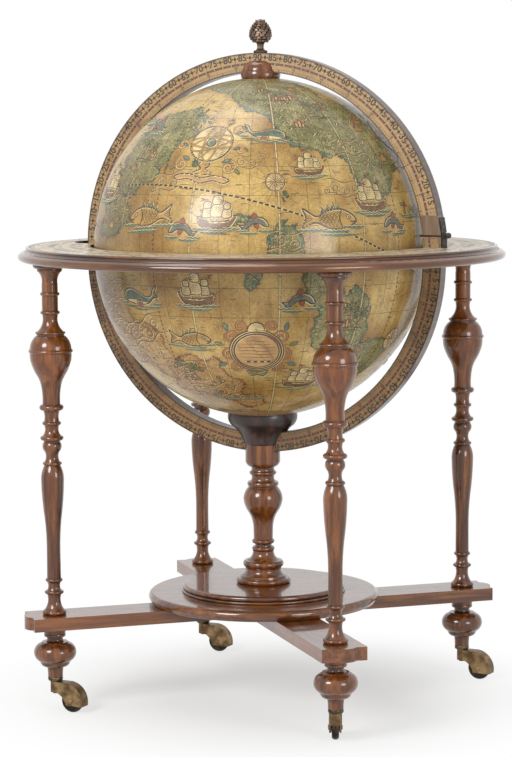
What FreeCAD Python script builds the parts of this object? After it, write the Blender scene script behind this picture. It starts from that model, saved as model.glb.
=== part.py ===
import FreeCAD, Part
import math
import os
import re

import Sketcher

# A floor-standing globe bar. The globe is split at the horizon: the lower half is a bowl that holds
# bottles and glasses, and the upper half is a lid that swings on a hinge at one end of the meridian.
# Four turned legs carry the horizon ring, a turned column carries the bowl, and four casters carry
# the crossed boards. Lengths are millimetres and angles are degrees. The origin lies on the floor
# under the column, Z points up, and X lies in the plane of the meridian, towards the hinge.

SIZES = {
    # Globe shells and their rims
    "split_height": 815.0,
    "split_gap": 0.6,
    "globe_radius": 300.0,
    "shell_wall": 7.0,
    "rim_lip": 3.0,
    "rim_depth": 18.0,
    "rim_width": 16.0,
    # Meridian, in two half rings
    "meridian_gap": 12.0,
    "meridian_width": 34.0,
    "meridian_thickness": 26.0,
    "meridian_drop": 21.0,
    "meridian_rise": 1.0,
    "meridian_seat": 13.0,
    # Horizon ring and its paper
    "ring_gap": 8.0,
    "ring_width": 128.0,
    "ring_thickness": 24.0,
    "ring_drop": 18.0,
    "ring_torus": 13.0,
    "ring_torus_inset": 5.0,
    "ring_fillet": 1.5,
    "ring_bead": 4.5,
    "ring_bead_width": 5.0,
    "paper_margin": 20.0,
    "paper_thickness": 1.0,
    "finger_reach": 22.0,
    "hinge_reach": 4.0,
    # Stand
    "leg_inset": 46.0,
    "leg_bearing": 42.0,
    "board_thickness": 23.0,
    "board_width": 80.0,
    "board_overhang": 54.0,
    "board_nose": 9.0,
    "board_nose_rise": 4.5,
    "board_nose_half": 16.0,
    "board_ear": 11.0,
    "column_tenon_dia": 36.0,
    # Dowels, glue joints and seats
    "dowel_dia": 14.0,
    "dowel_leg": 25.0,
    "dowel_ring": 13.0,
    "dowel_foot": 20.0,
    "glue_gap": 0.1,
    "seat_gap": 0.2,
    "slot_gap": 0.3,
    # Hinge of the lid
    "stub_rise": 25.0,
    "hinge_gap": 3.0,
    "block_height": 34.0,
    "block_proud": 1.0,
    "leaf_length": 32.0,
    "leaf_width": 24.0,
    "leaf_thickness": 2.5,
    "knuckle_radius": 5.0,
    "knuckle_width": 9.4,
    "knuckle_gap": 0.3,
    "pin_dia": 4.0,
    "pin_gap": 0.05,
    "pin_proud": 2.0,
    # Bar fittings inside the bowl
    "tray_depth": 62.0,
    "tray_thickness": 12.0,
    "well_dia": 170.0,
    "glass_dia": 74.0,
    "glass_inset": 110.0,
    "floor_rise": 104.0,
    "floor_thickness": 10.0,
    # Casters
    "wheel_dia": 42.0,
    "wheel_width": 12.0,
    "wheel_crown": 3.0,
    "wheel_hub_dia": 17.0,
    "wheel_hub_proud": 1.0,
    "axle_dia": 5.0,
    "axle_head_dia": 10.0,
    "axle_head": 2.0,
    "caster_trail": 35.0,
    "caster_turn": 357.0,
    "caster_turn_front": 114.0,
    "horn_cheek": 3.0,
    "horn_play": 0.5,
    "horn_strap": 3.0,
    "horn_clear": 8.5,
    "horn_nose": 4.0,
    "horn_lip": 13.0,
    "horn_heel": 8.0,
    "horn_crest": 6.0,
    "boss_dia": 18.0,
    "boss_height": 20.7,
    "boss_proud": 1.2,
    "pivot_dia": 8.0,
    "pivot_gap": 0.05,
    "pivot_head_dia": 12.0,
    "pivot_head": 2.4,
    "run_gap": 0.3,
    "ferrule_dia": 24.5,
    "ferrule_height": 7.0,
    "shank_dia": 10.0,
    "shank_length": 30.0,
}

# Turning schedules, from the bottom up. A row is a name, a height, the diameters at its lower and
# upper edges, and its roundness: the rise of the arc over its chord, positive where it swells. With
# no lower diameter a row carries on from the row below, and with no upper one it ends as it began.
LEG = [
    ("base_torus", 8.0, 38.0, None, 0.30),
    ("base_cavetto", 29.0, 36.0, 25.6, -0.13),
    ("base_ring", 6.0, 29.0, None, 0.42),
    ("foot_cove", 16.0, 26.0, None, -0.16),
    ("shaft_ring", 5.5, 27.0, None, 0.32),
    ("shaft", 48.0, 24.8, 24.2, 0.0),
    ("taper", 62.0, None, 30.4, -0.015),
    ("baluster", 64.5, None, 40.4, 0.015),
    ("baluster_shoulder", 28.0, None, 28.0, 0.07),
    ("baluster_ring", 6.0, 29.0, None, 0.40),
    ("neck", 19.0, 27.0, None, -0.13),
    ("neck_bead", 16.0, 28.0, 29.0, 0.17),
    ("collar_fillet", 3.0, 28.6, None, 0.0),
    ("collar", 8.0, 34.0, None, 0.44),
    ("collar_cove", 19.0, 33.0, 27.0, -0.15),
    ("spool_ring", 6.5, 28.0, None, 0.40),
    ("spool", 20.0, 27.0, 30.0, -0.09),
    ("vase_ring", 9.5, 37.0, None, 0.30),
    ("vase_stem", 35.0, 31.6, 36.0, -0.035),
    ("vase_sweep", 17.0, None, 50.0, -0.046),
    ("vase_bowl", 26.0, None, 72.0, 0.04),
    ("vase_band", 13.5, None, 73.5, 0.03),
    ("vase_bead", 7.0, 74.0, None, 0.28),
    ("vase_dome", 23.0, 73.0, 52.0, 0.11),
    ("dome_fillet", 3.5, 48.5, None, 0.0),
    ("dome_flange", 4.0, 51.0, None, 0.25),
    ("throat", 30.5, 47.0, 28.0, -0.15),
    ("throat_ring", 6.0, 29.0, None, 0.44),
    ("drum", 26.5, 28.2, None, 0.0),
    ("drum_ring", 6.0, 29.0, None, 0.44),
    ("capital_neck", 14.0, 28.2, None, 0.0),
    ("capital_flare", 22.0, None, 40.0, -0.12),
    ("capital_disc", 6.0, 42.0, 44.0, 0.10),
    ("capital_abacus", 9.0, 53.0, None, 0.30),
]
COLUMN = [
    ("base_torus", 10.0, 92.0, None, 0.35),
    ("base_fillet", 4.0, 84.0, 82.0, 0.0),
    ("base_cove", 15.0, 80.0, 66.0, -0.20),
    ("collar", 12.0, 67.0, 66.0, 0.30),
    ("collar_cove", 17.0, 60.0, 38.0, -0.16),
    ("lower_ring", 8.0, 36.5, None, 0.28),
    ("ring_gap", 6.0, 31.0, None, -0.10),
    ("upper_ring", 7.0, 36.5, None, 0.32),
    ("shaft", 18.0, 35.0, 35.6, 0.0),
    ("shaft_flare", 18.0, None, 40.4, -0.04),
    ("bulb_sweep", 14.0, None, 53.0, -0.04),
    ("bulb_lower", 24.0, None, 71.3, 0.066),
    ("bulb_upper", 21.0, None, 55.0, 0.087),
    ("bulb_groove", 3.0, 52.0, None, 0.0),
    ("bulb_ring", 8.0, 54.0, None, 0.18),
    ("neck", 12.5, 47.0, 43.0, -0.16),
    ("neck_ring", 7.0, 44.5, None, 0.32),
    ("throat", 8.5, 43.0, 45.0, -0.16),
    ("block_bevel", 8.0, 50.0, 62.0, 0.12),
    ("block", 33.0, 63.0, None, 0.0),
]
CUP = [
    ("foot", 4.0, 66.0, 70.0, 0.10),
    ("side", 30.0, None, 110.0, -0.07),
    ("rim", 23.3, 112.0, 124.0, 0.14),
]
HUB = [
    ("band", 14.0, 68.0, None, 0.10),
    ("dome", 18.0, 64.0, 28.0, 0.20),
]
STEM = [
    ("foot", 4.0, 23.0, None, 0.25),
    ("cove", 8.0, 20.0, 12.0, -0.20),
    ("calyx", 7.0, None, 20.0, -0.15),
]
CONE = [
    ("lower", 11.0, 24.0, 41.0, 0.16),
    ("upper", 25.0, None, 17.0, 0.14),
    ("tip", 4.0, None, 5.0, 0.20),
]
FOOT = [
    ("stem", 19.0, 26.6, 30.0, -0.03),
    ("under_ring", 7.0, 42.0, 52.0, 0.16),
    ("under_fillet", 3.0, 54.0, 57.0, 0.0),
    ("bun", 31.5, 59.0, 52.0, 0.31),
    ("shoulder", 2.5, 50.0, 46.0, 0.0),
    ("cove", 6.0, 36.0, 28.5, -0.20),
    ("neck", 3.5, 28.0, None, 0.0),
    ("top_ring", 5.5, 37.0, None, 0.15),
    ("top_flange", 11.0, 38.0, 42.0, -0.05),
]
DISC = [
    ("underside", 4.0, 402.0, 410.0, 0.20),
    ("edge", 15.0, 412.0, 405.0, 0.30),
]
STEP = [
    ("bead", 4.5, 295.0, None, 0.30),
    ("edge", 9.5, 290.0, 284.0, 0.30),
]
SCHEDULES = {
    "leg": LEG,
    "column": COLUMN,
    "cup": CUP,
    "hub": HUB,
    "stem": STEM,
    "cone": CONE,
    "foot": FOOT,
    "disc": DISC,
    "step": STEP,
}

# Each leg stands over a foot and a caster. The number counts quarter turns from the first leg.
CORNERS = {"right": 0, "back": 1, "left": 2, "front": 3}
FRONT_CASTER = "front"
GLASS_COUNT = 8

# Roundness of edges that are not in a schedule
QUARTER_ARC = (math.sqrt(2.0) - 1.0) / 2.0
HALF_ARC = 0.5
TORUS = 0.38
BEAD = 0.40
COVE = -0.20
RIVET = 0.20
FERRULE = 0.15
HORN_CROWN = 0.22
HORN_THROAT = -0.12

# Sine and cosine of half a right angle
DIAGONAL = math.sqrt(0.5)

for piece_name, rows in SCHEDULES.items():
    for row_name, row_height, low_dia, high_dia, roundness in rows:
        SIZES[f"{piece_name}_{row_name}_height"] = row_height
        if low_dia is not None:
            SIZES[f"{piece_name}_{row_name}_low"] = low_dia
        if high_dia is not None:
            SIZES[f"{piece_name}_{row_name}_high"] = high_dia


def height_of(piece):
    """Sum of the heights in a turning schedule."""
    return "(" + " + ".join(f"{piece}_{row[0]}_height" for row in SCHEDULES[piece]) + ")"


# Radii that several pieces share
SHELL_INNER = "(globe_radius - shell_wall)"
LINER_RADIUS = f"({SHELL_INNER} - seat_gap)"
SEAT_RADIUS = "(globe_radius + seat_gap)"
MERIDIAN_INNER = "(globe_radius + meridian_gap)"
MERIDIAN_OUTER = f"({MERIDIAN_INNER} + meridian_width)"
RING_INNER = "(globe_radius + ring_gap)"
RING_OUTER = f"({RING_INNER} + ring_width)"
PAPER_OUTER = f"({RING_OUTER} - paper_margin)"
LEG_CIRCLE = f"({RING_OUTER} - leg_inset)"
BOARD_REACH = f"({LEG_CIRCLE} + board_overhang)"
DOWEL_HOLE = "(dowel_dia + 2 * glue_gap)"
SHANK_HOLE = "(shank_dia + 2 * glue_gap)"
TENON_HOLE = "(column_tenon_dia + 2 * glue_gap)"
SLOT_WIDTH = "(meridian_thickness + 2 * slot_gap)"
SLOT_HALF = f"({SLOT_WIDTH} / 2)"

# Levels above the floor, from the wheels up
AXLE_LEVEL = "(wheel_dia / 2)"
HORN_TOP = "(wheel_dia + horn_clear + horn_strap)"
BOSS_TOP = f"({HORN_TOP} + boss_proud)"
BOSS_BOTTOM = f"({BOSS_TOP} - boss_height)"
FERRULE_BOTTOM = f"({BOSS_TOP} + run_gap)"
FERRULE_TOP = f"({FERRULE_BOTTOM} + ferrule_height)"
BOARD_UNDERSIDE = f"({FERRULE_TOP} + {height_of('foot')})"
BOARD_TOP = f"({BOARD_UNDERSIDE} + board_thickness)"
DISC_TOP = f"({BOARD_TOP} + {height_of('disc')})"
STEP_TOP = f"({DISC_TOP} + {height_of('step')})"
RING_UNDERSIDE = "(split_height - ring_drop)"
BOWL_CENTRE = "(split_height - rim_lip)"
LID_CENTRE = "(split_height + rim_lip)"
LOWER_ARC_CENTRE = "(split_height - meridian_drop)"
UPPER_ARC_CENTRE = "(split_height + meridian_rise)"
COLUMN_TOP = f"({LOWER_ARC_CENTRE} - {MERIDIAN_OUTER} + meridian_seat)"
CUP_RIM = f"({BOWL_CENTRE} - sqrt({SEAT_RADIUS}^2 - (cup_rim_high / 2)^2))"
HUB_RIM = f"({LID_CENTRE} + sqrt({SEAT_RADIUS}^2 - (hub_band_low / 2)^2))"
MERIDIAN_TOP = f"({UPPER_ARC_CENTRE} + {MERIDIAN_OUTER})"

# These turned pieces stretch or shrink along their length to fill the space between two levels.
STRETCHES = {
    "leg_stretch": f"({RING_UNDERSIDE} - {BOARD_TOP}) / {height_of('leg')}",
    "column_stretch": f"({COLUMN_TOP} - {STEP_TOP}) / {height_of('column')}",
    "cup_stretch": f"({CUP_RIM} - {COLUMN_TOP}) / {height_of('cup')}",
}

# The fittings in the bowl keep their distance from its wall and bottom.
FLOOR_DEPTH = "(globe_radius - floor_rise)"
GLASS_CIRCLE = "(globe_radius - glass_inset)"

# The hinge's axis runs along Y, outside the meridian and half way across the gap in it.
HINGE_OUT = f"({MERIDIAN_OUTER} + knuckle_radius + knuckle_gap)"
HINGE_LEVEL = "(split_height + stub_rise + hinge_gap / 2)"
BLOCK_BOTTOM = "(split_height + stub_rise + hinge_gap)"
BLOCK_TOP = f"({BLOCK_BOTTOM} + block_height)"
BLOCK_RISE = f"({BLOCK_TOP} - {UPPER_ARC_CENTRE})"
BLOCK_TOP_INNER = f"sqrt({MERIDIAN_INNER}^2 - {BLOCK_RISE}^2)"
BLOCK_TOP_OUTER = f"sqrt({MERIDIAN_OUTER}^2 - {BLOCK_RISE}^2)"

# Casters, in the horn's own frame: X runs from the pivot to the axle
HORN_SLOT = "(wheel_width + 2 * wheel_hub_proud + 2 * horn_play)"
HORN_WIDTH = f"({HORN_SLOT} + 2 * horn_cheek)"
HORN_REACH = "(caster_trail + wheel_dia / 2 + horn_nose)"

doc = FreeCAD.newDocument("globe_bar")
sheet = doc.addObject("Spreadsheet::Sheet", "sizes")
cells = {alias: str(number) for alias, number in SIZES.items()}
cells.update({alias: f"={formula}" for alias, formula in STRETCHES.items()})
for row, (alias, content) in enumerate(cells.items(), start=1):
    sheet.set(f"A{row}", alias)
    sheet.set(f"B{row}", content)
    sheet.setAlias(f"B{row}", alias)
doc.recompute()

pieces = []

# Every size name holds an underscore, which tells it from a function such as sqrt.
SIZE_NAME = re.compile(r"\b[a-z]+_\w+\b")


def bound(text):
    """Turn size names into references to the sheet's cells."""
    return SIZE_NAME.sub(lambda match: "sizes." + match.group(0), text)


def number_of(text):
    """Present value of an expression of sizes."""
    return float(sheet.evalExpression(bound(text)))


def point_of(x, y):
    """Present place of a point given by two expressions."""
    return FreeCAD.Vector(number_of(x), number_of(y), 0.0)


def place(target, x="0", y="0", z="0", turn=None):
    """Place a piece by expressions, turned about the upright axis."""
    if turn is not None:
        target.Placement.Rotation = FreeCAD.Rotation(FreeCAD.Vector(0, 0, 1), number_of(turn))
        target.setExpression("Placement.Rotation.Angle", bound(turn))
    for name, text in (("x", x), ("y", y), ("z", z)):
        if text != "0":
            target.setExpression(f"Placement.Base.{name}", bound(text))


def turn_over(target):
    """Turn a piece upside down."""
    target.Placement.Rotation = FreeCAD.Rotation(FreeCAD.Vector(1, 0, 0), 180.0)


def corner_x(quarter):
    """Distance along X of the leg at a quarter turn."""
    return f"{LEG_CIRCLE} * cos(leg_bearing + {90 * quarter})"


def corner_y(quarter):
    """Distance along Y of the leg at a quarter turn."""
    return f"{LEG_CIRCLE} * sin(leg_bearing + {90 * quarter})"


def new_body(label):
    """Start a piece under its own label."""
    body = doc.addObject("PartDesign::Body", label)
    body.Label = label
    pieces.append(body)
    return body


def origin_item(body, role):
    """One of the planes or axes of the body's own origin."""
    return next(item for item in body.Origin.OriginFeatures if item.Role == role)


def new_sketch(body, plane, level="0"):
    """Start a sketch on one of the body's own planes, or at a level above it."""
    sketch = body.newObject("Sketcher::SketchObject", f"{body.Name}_sketch")
    sketch.AttachmentSupport = [(origin_item(body, plane), "")]
    sketch.MapMode = "FlatFace"
    if level != "0":
        sketch.setExpression("AttachmentOffset.Base.z", bound(level))
    return sketch


def pin_rules(geometry, position, x, y):
    """Rules that hold a point of the sketch at coordinates given by expressions."""
    if x == "0" and y == "0":
        return [(Sketcher.Constraint("Coincident", geometry, position, -1, 1), None)]
    rules = []
    for kind, text, axis in (("DistanceX", x, -2), ("DistanceY", y, -1)):
        if text == "0":
            rules.append((Sketcher.Constraint("PointOnObject", geometry, position, axis), None))
        else:
            rules.append((Sketcher.Constraint(kind, -1, 1, geometry, position, number_of(text)), text))
    return rules


def add_rules(sketch, rules):
    """Add the rules to the sketch and bind their values to the sheet."""
    first = sketch.ConstraintCount
    sketch.addConstraint([rule for rule, text in rules])
    for offset, (rule, text) in enumerate(rules):
        if text is not None:
            sketch.setExpression(f"Constraints[{first + offset}]", bound(text))


def arc_through(start, middle, end):
    """An arc through three points, and which of its ends, 1 or 2, is the start and which the end."""
    curve = Part.ArcOfCircle(start, middle, end)
    forward = (middle - start).cross(end - start).z > 0.0
    first, last = (start, end) if forward else (end, start)
    angles = [math.atan2(point.y - curve.Center.y, point.x - curve.Center.x) for point in (first, last)]
    if angles[1] <= angles[0]:
        angles[1] += 2.0 * math.pi
    circle = Part.Circle(curve.Center, FreeCAD.Vector(0, 0, 1), curve.Radius)
    ends = (1, 2) if forward else (2, 1)
    return Part.ArcOfCircle(circle, angles[0], angles[1]), ends


def arc_middle(here, there, roundness):
    """Middle of an arc that rises by a share of its chord, to the right of the way to its end."""
    x = f"(({here[0]}) + ({there[0]})) / 2 + {roundness} * (({there[1]}) - ({here[1]}))"
    y = f"(({here[1]}) + ({there[1]})) / 2 - {roundness} * (({there[0]}) - ({here[0]}))"
    return x, y


def draw(sketch, corners):
    """Draw a closed outline whose corners are held by expressions.

    A corner is x, y and the edge to the next corner: 0 for a straight edge, a roundness for an arc,
    or a point that the arc passes through.
    """
    base = sketch.GeometryCount
    edges = []
    ends = []
    middles = {}
    for index, corner in enumerate(corners):
        following = corners[(index + 1) % len(corners)]
        start = point_of(corner[0], corner[1])
        end = point_of(following[0], following[1])
        if corner[2] == 0:
            edges.append(Part.LineSegment(start, end))
            ends.append((1, 2))
            continue
        middle = corner[2]
        if isinstance(middle, float):
            middle = arc_middle(corner, following, middle)
        arc, arc_ends = arc_through(start, point_of(*middle), end)
        edges.append(arc)
        ends.append(arc_ends)
        middles[index] = middle
    sketch.addGeometry(edges, False)
    rules = []
    for index, corner in enumerate(corners):
        before = (index - 1) % len(corners)
        joint = Sketcher.Constraint(
            "Coincident", base + before, ends[before][1], base + index, ends[index][0])
        rules.append((joint, None))
        rules += pin_rules(base + index, ends[index][0], corner[0], corner[1])
    for index, middle in middles.items():
        mark = sketch.addGeometry(Part.Point(point_of(*middle)), True)
        rules += pin_rules(mark, 1, *middle)
        rules.append((Sketcher.Constraint("PointOnObject", mark, 1, base + index), None))
    add_rules(sketch, rules)


def draw_circle(sketch, x, y, radius):
    """Draw a circle whose centre and radius are held by expressions."""
    circle = Part.Circle(point_of(x, y), FreeCAD.Vector(0, 0, 1), number_of(radius))
    index = sketch.addGeometry(circle, False)
    rules = [(Sketcher.Constraint("Radius", index, number_of(radius)), radius)]
    add_rules(sketch, rules + pin_rules(index, 3, x, y))


def rectangle(x_from, x_to, y_from, y_to):
    """Corners of a rectangle."""
    return [(x_from, y_from, 0), (x_to, y_from, 0), (x_to, y_to, 0), (x_from, y_to, 0)]


def revolve(body, corners, plane="XZ_Plane", axis="V_Axis"):
    """Turn an outline about one of its sketch's own axes."""
    sketch = new_sketch(body, plane)
    draw(sketch, corners)
    feature = body.newObject("PartDesign::Revolution", f"{body.Name}_turned")
    feature.Profile = sketch
    feature.ReferenceAxis = (sketch, [axis])
    feature.Angle = 360.0


def extrude(kind, body, plane, length, outlines, level="0", symmetric=True, reverse=False):
    """Pad or pocket outlines, each a list of corners, or a circle's centre and radius."""
    sketch = new_sketch(body, plane, level)
    for outline in outlines:
        if isinstance(outline, tuple):
            draw_circle(sketch, *outline)
        else:
            draw(sketch, outline)
    feature = body.newObject(f"PartDesign::{kind}", f"{body.Name}_{kind.lower()}")
    feature.Profile = sketch
    feature.SideType = "Symmetric" if symmetric else "One side"
    feature.Reversed = reverse
    feature.setExpression("Length", bound(length))
    return feature


def repeat_round(body, feature, count):
    """Repeat a feature evenly about the body's upright axis."""
    pattern = body.newObject("PartDesign::PolarPattern", f"{body.Name}_round")
    pattern.Originals = [feature]
    pattern.Axis = (origin_item(body, "Z_Axis"), [""])
    pattern.Angle = 360.0
    pattern.Occurrences = count
    body.Tip = pattern


def schedule_corners(piece, level="0"):
    """Outer corners of a turned piece, from its lower edge up, and the level of its upper edge."""
    corners = []
    for name, _, low, high, roundness in SCHEDULES[piece]:
        edge = roundness if roundness else 0
        if low is None:
            corners[-1] = (corners[-1][0], corners[-1][1], edge)
        else:
            corners.append((f"{piece}_{name}_low / 2", level, edge))
        rise = f"{piece}_{name}_height"
        if f"{piece}_stretch" in STRETCHES:
            rise = f"{rise} * {piece}_stretch"
        level = rise if level == "0" else f"{level} + {rise}"
        radius = corners[-1][0] if high is None else f"{piece}_{name}_high / 2"
        corners.append((radius, level, 0))
    return corners, level


def turned(label, piece, bottom_socket=None, top_socket=None):
    """A turned piece, solid or with blind sockets in its ends, each a diameter and a depth."""
    body = new_body(label)
    outer, end = schedule_corners(piece)
    lower = [("0", "0", 0)]
    upper = [("0", end, 0)]
    if bottom_socket:
        radius, depth = f"{bottom_socket[0]} / 2", bottom_socket[1]
        lower = [("0", depth, 0), (radius, depth, 0), (radius, "0", 0)]
    if top_socket:
        radius, depth = f"{top_socket[0]} / 2", top_socket[1]
        floor = f"{end} - {depth}"
        upper = [(radius, end, 0), (radius, floor, 0), ("0", floor, 0)]
    revolve(body, lower + outer + upper)
    return body


def bored_disc(label, piece, level):
    """One turned disc of the base, with a hole for the column's tenon."""
    body = new_body(label)
    outer, end = schedule_corners(piece)
    bore = f"{TENON_HOLE} / 2"
    revolve(body, [(bore, "0", 0)] + outer + [(bore, end, 0)])
    place(body, z=level)


def half_shell(label, centre):
    """One half of the globe, as a bowl."""
    body = new_body(label)
    revolve(body, [
        ("0", "-globe_radius", QUARTER_ARC),
        ("globe_radius", "0", 0),
        (SHELL_INNER, "0", -QUARTER_ARC),
        ("0", f"-{SHELL_INNER}", 0),
    ])
    place(body, z=centre)
    return body


def rim_hoop(label, centre):
    """The wooden hoop inside a shell's edge, with a lip that shows at the split."""
    body = new_body(label)
    foot = f"sqrt({LINER_RADIUS}^2 - rim_depth^2)"
    waist = f"sqrt({LINER_RADIUS}^2 - (rim_depth / 2)^2)"
    bore = f"({SHELL_INNER} - rim_width)"
    lip = "rim_lip - split_gap / 2"
    revolve(body, [
        (bore, "-rim_depth", 0),
        (foot, "-rim_depth", (waist, "-rim_depth / 2")),
        (LINER_RADIUS, "0", 0),
        ("globe_radius", "0", 0),
        ("globe_radius", lip, 0),
        (bore, lip, 0),
    ])
    place(body, z=centre)
    return body


def lower_meridian():
    """The half ring below the horizon, with a straight stub up to the hinge."""
    body = new_body("lower_meridian")
    left_end = "meridian_drop - split_gap / 2"
    stub = "meridian_drop + stub_rise"
    outline = [
        (f"-{MERIDIAN_OUTER}", left_end, 0),
        (f"-{MERIDIAN_OUTER}", "0", QUARTER_ARC),
        ("0", f"-{MERIDIAN_OUTER}", QUARTER_ARC),
        (MERIDIAN_OUTER, "0", 0),
        (MERIDIAN_OUTER, stub, 0),
        (MERIDIAN_INNER, stub, 0),
        (MERIDIAN_INNER, "0", -QUARTER_ARC),
        ("0", f"-{MERIDIAN_INNER}", -QUARTER_ARC),
        (f"-{MERIDIAN_INNER}", "0", 0),
        (f"-{MERIDIAN_INNER}", left_end, 0),
    ]
    extrude("Pad", body, "XZ_Plane", "meridian_thickness", [outline])
    place(body, z=LOWER_ARC_CENTRE)


def upper_meridian():
    """The half ring over the lid, from the lifting end to the hinge block."""
    body = new_body("upper_meridian")
    inner = f"{MERIDIAN_INNER} * {DIAGONAL}"
    outer = f"{MERIDIAN_OUTER} * {DIAGONAL}"
    left_end = "split_gap / 2 - meridian_rise"
    outline = [
        (f"-{MERIDIAN_OUTER}", left_end, 0),
        (f"-{MERIDIAN_INNER}", left_end, 0),
        (f"-{MERIDIAN_INNER}", "0", -QUARTER_ARC),
        ("0", MERIDIAN_INNER, (inner, inner)),
        (BLOCK_TOP_INNER, BLOCK_RISE, 0),
        (BLOCK_TOP_OUTER, BLOCK_RISE, (outer, outer)),
        ("0", MERIDIAN_OUTER, QUARTER_ARC),
        (f"-{MERIDIAN_OUTER}", "0", 0),
    ]
    extrude("Pad", body, "XZ_Plane", "meridian_thickness", [outline])
    place(body, z=UPPER_ARC_CENTRE)


def hinge_block():
    """The block that ends the upper half ring above the hinge, a little proud of its sides."""
    body = new_body("hinge_block")
    outline = [
        (MERIDIAN_INNER, "0", 0),
        (MERIDIAN_OUTER, "0", 0),
        (BLOCK_TOP_OUTER, "block_height", 0),
        (BLOCK_TOP_INNER, "block_height", 0),
    ]
    extrude("Pad", body, "XZ_Plane", "meridian_thickness + 2 * block_proud", [outline])
    place(body, z=BLOCK_BOTTOM)


def hinge_leaf(label, side, lean):
    """A leaf of the hinge, in a frame on the hinge's axis. Its plate leans back with its block.

    The leaf below has the two outer knuckles, and the leaf above has the middle one.
    """
    body = new_body(label)
    back = "-(knuckle_radius + knuckle_gap)"
    face = f"({back} + leaf_thickness)"
    root = f"{side} * (knuckle_radius + knuckle_gap)"
    tip = f"{side} * leaf_length"
    shift = f"{lean} * (leaf_length - hinge_gap / 2)"
    root_shift = f"{lean} * (knuckle_radius + knuckle_gap - hinge_gap / 2)"
    plate = [
        (f"{back} - {root_shift}", root, 0),
        (f"{face} - {root_shift}", root, 0),
        (f"{face} - {shift}", tip, 0),
        (f"{back} - {shift}", tip, 0),
    ]
    extrude("Pad", body, "XZ_Plane", "leaf_width", [plate])
    web = rectangle(back, face, "0", f"{side} * (knuckle_radius + 2 * knuckle_gap)")
    barrel = "knuckle_width" if side > 0 else "leaf_width"
    extrude("Pad", body, "XZ_Plane", barrel, [web])
    extrude("Pad", body, "XZ_Plane", barrel, [("0", "0", "knuckle_radius")])
    if side < 0:
        swing = rectangle(f"{back} - leaf_thickness", "2 * knuckle_radius", root, "2 * knuckle_radius")
        extrude("Pocket", body, "XZ_Plane", "knuckle_width + 2 * knuckle_gap", [swing])
    extrude("Pocket", body, "XZ_Plane", "2 * leaf_width", [("0", "0", "pin_dia / 2 + pin_gap")])
    place(body, x=HINGE_OUT, z=HINGE_LEVEL)


def hinge():
    """The strap hinge: a leaf on the meridian's stub, a leaf on the lid's block, and the pin."""
    block_lean = f"(({MERIDIAN_OUTER} - {BLOCK_TOP_OUTER}) / block_height)"
    hinge_leaf("hinge_leaf_fixed", -1, "0")
    hinge_leaf("hinge_leaf_lid", 1, block_lean)
    pin = new_body("hinge_pin")
    extrude("Pad", pin, "XZ_Plane", "leaf_width + 2 * pin_proud", [("0", "0", "pin_dia / 2")])
    place(pin, x=HINGE_OUT, z=HINGE_LEVEL)


def meridian_slots():
    """Outlines of the ring's slots: one with a round end for a finger, one for the hinge."""
    inner = f"({RING_INNER} - finger_reach)"
    end = f"({MERIDIAN_OUTER} + finger_reach - {SLOT_HALF})"
    finger_slot = [
        (f"-{inner}", SLOT_HALF, 0),
        (f"-{end}", SLOT_HALF, HALF_ARC),
        (f"-{end}", f"-{SLOT_HALF}", 0),
        (f"-{inner}", f"-{SLOT_HALF}", 0),
    ]
    leaf_face = f"({MERIDIAN_OUTER} + leaf_thickness + hinge_reach)"
    hinge_slot = rectangle(inner, leaf_face, f"-{SLOT_HALF}", SLOT_HALF)
    return [finger_slot, hinge_slot]


def horizon_ring():
    """The horizon ring, with a moulded edge, slots for the meridian and sockets for the legs."""
    body = new_body("horizon_ring")
    edge = f"({RING_OUTER} - ring_torus_inset)"
    bead = f"({PAPER_OUTER} + ring_bead_width)"
    recess = "ring_thickness - paper_thickness"
    revolve(body, [
        (RING_INNER, "0", 0),
        (edge, "0", TORUS),
        (edge, "ring_torus", 0),
        (f"{edge} - ring_fillet", "ring_torus + ring_fillet", COVE),
        (bead, "ring_thickness - ring_bead", BEAD),
        (f"{bead} - ring_bead / 2", "ring_thickness", 0),
        (PAPER_OUTER, "ring_thickness", 0),
        (PAPER_OUTER, recess, 0),
        (RING_INNER, recess, 0),
    ])
    extrude("Pocket", body, "XY_Plane", "3 * ring_thickness", meridian_slots())
    hole = (corner_x(0), corner_y(0), f"{DOWEL_HOLE} / 2")
    socket = extrude("Pocket", body, "XY_Plane", "dowel_ring", [hole], symmetric=False, reverse=True)
    repeat_round(body, socket, len(CORNERS))
    place(body, z=RING_UNDERSIDE)


def horizon_paper():
    """The printed sheet let into the top of the horizon ring."""
    body = new_body("horizon_paper")
    edge = f"({PAPER_OUTER} - glue_gap)"
    revolve(body, [
        (RING_INNER, "0", 0),
        (edge, "0", 0),
        (edge, "paper_thickness", 0),
        (RING_INNER, "paper_thickness", 0),
    ])
    extrude("Pocket", body, "XY_Plane", "4 * paper_thickness", meridian_slots())
    place(body, z=f"{RING_UNDERSIDE} + ring_thickness - paper_thickness")


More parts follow.
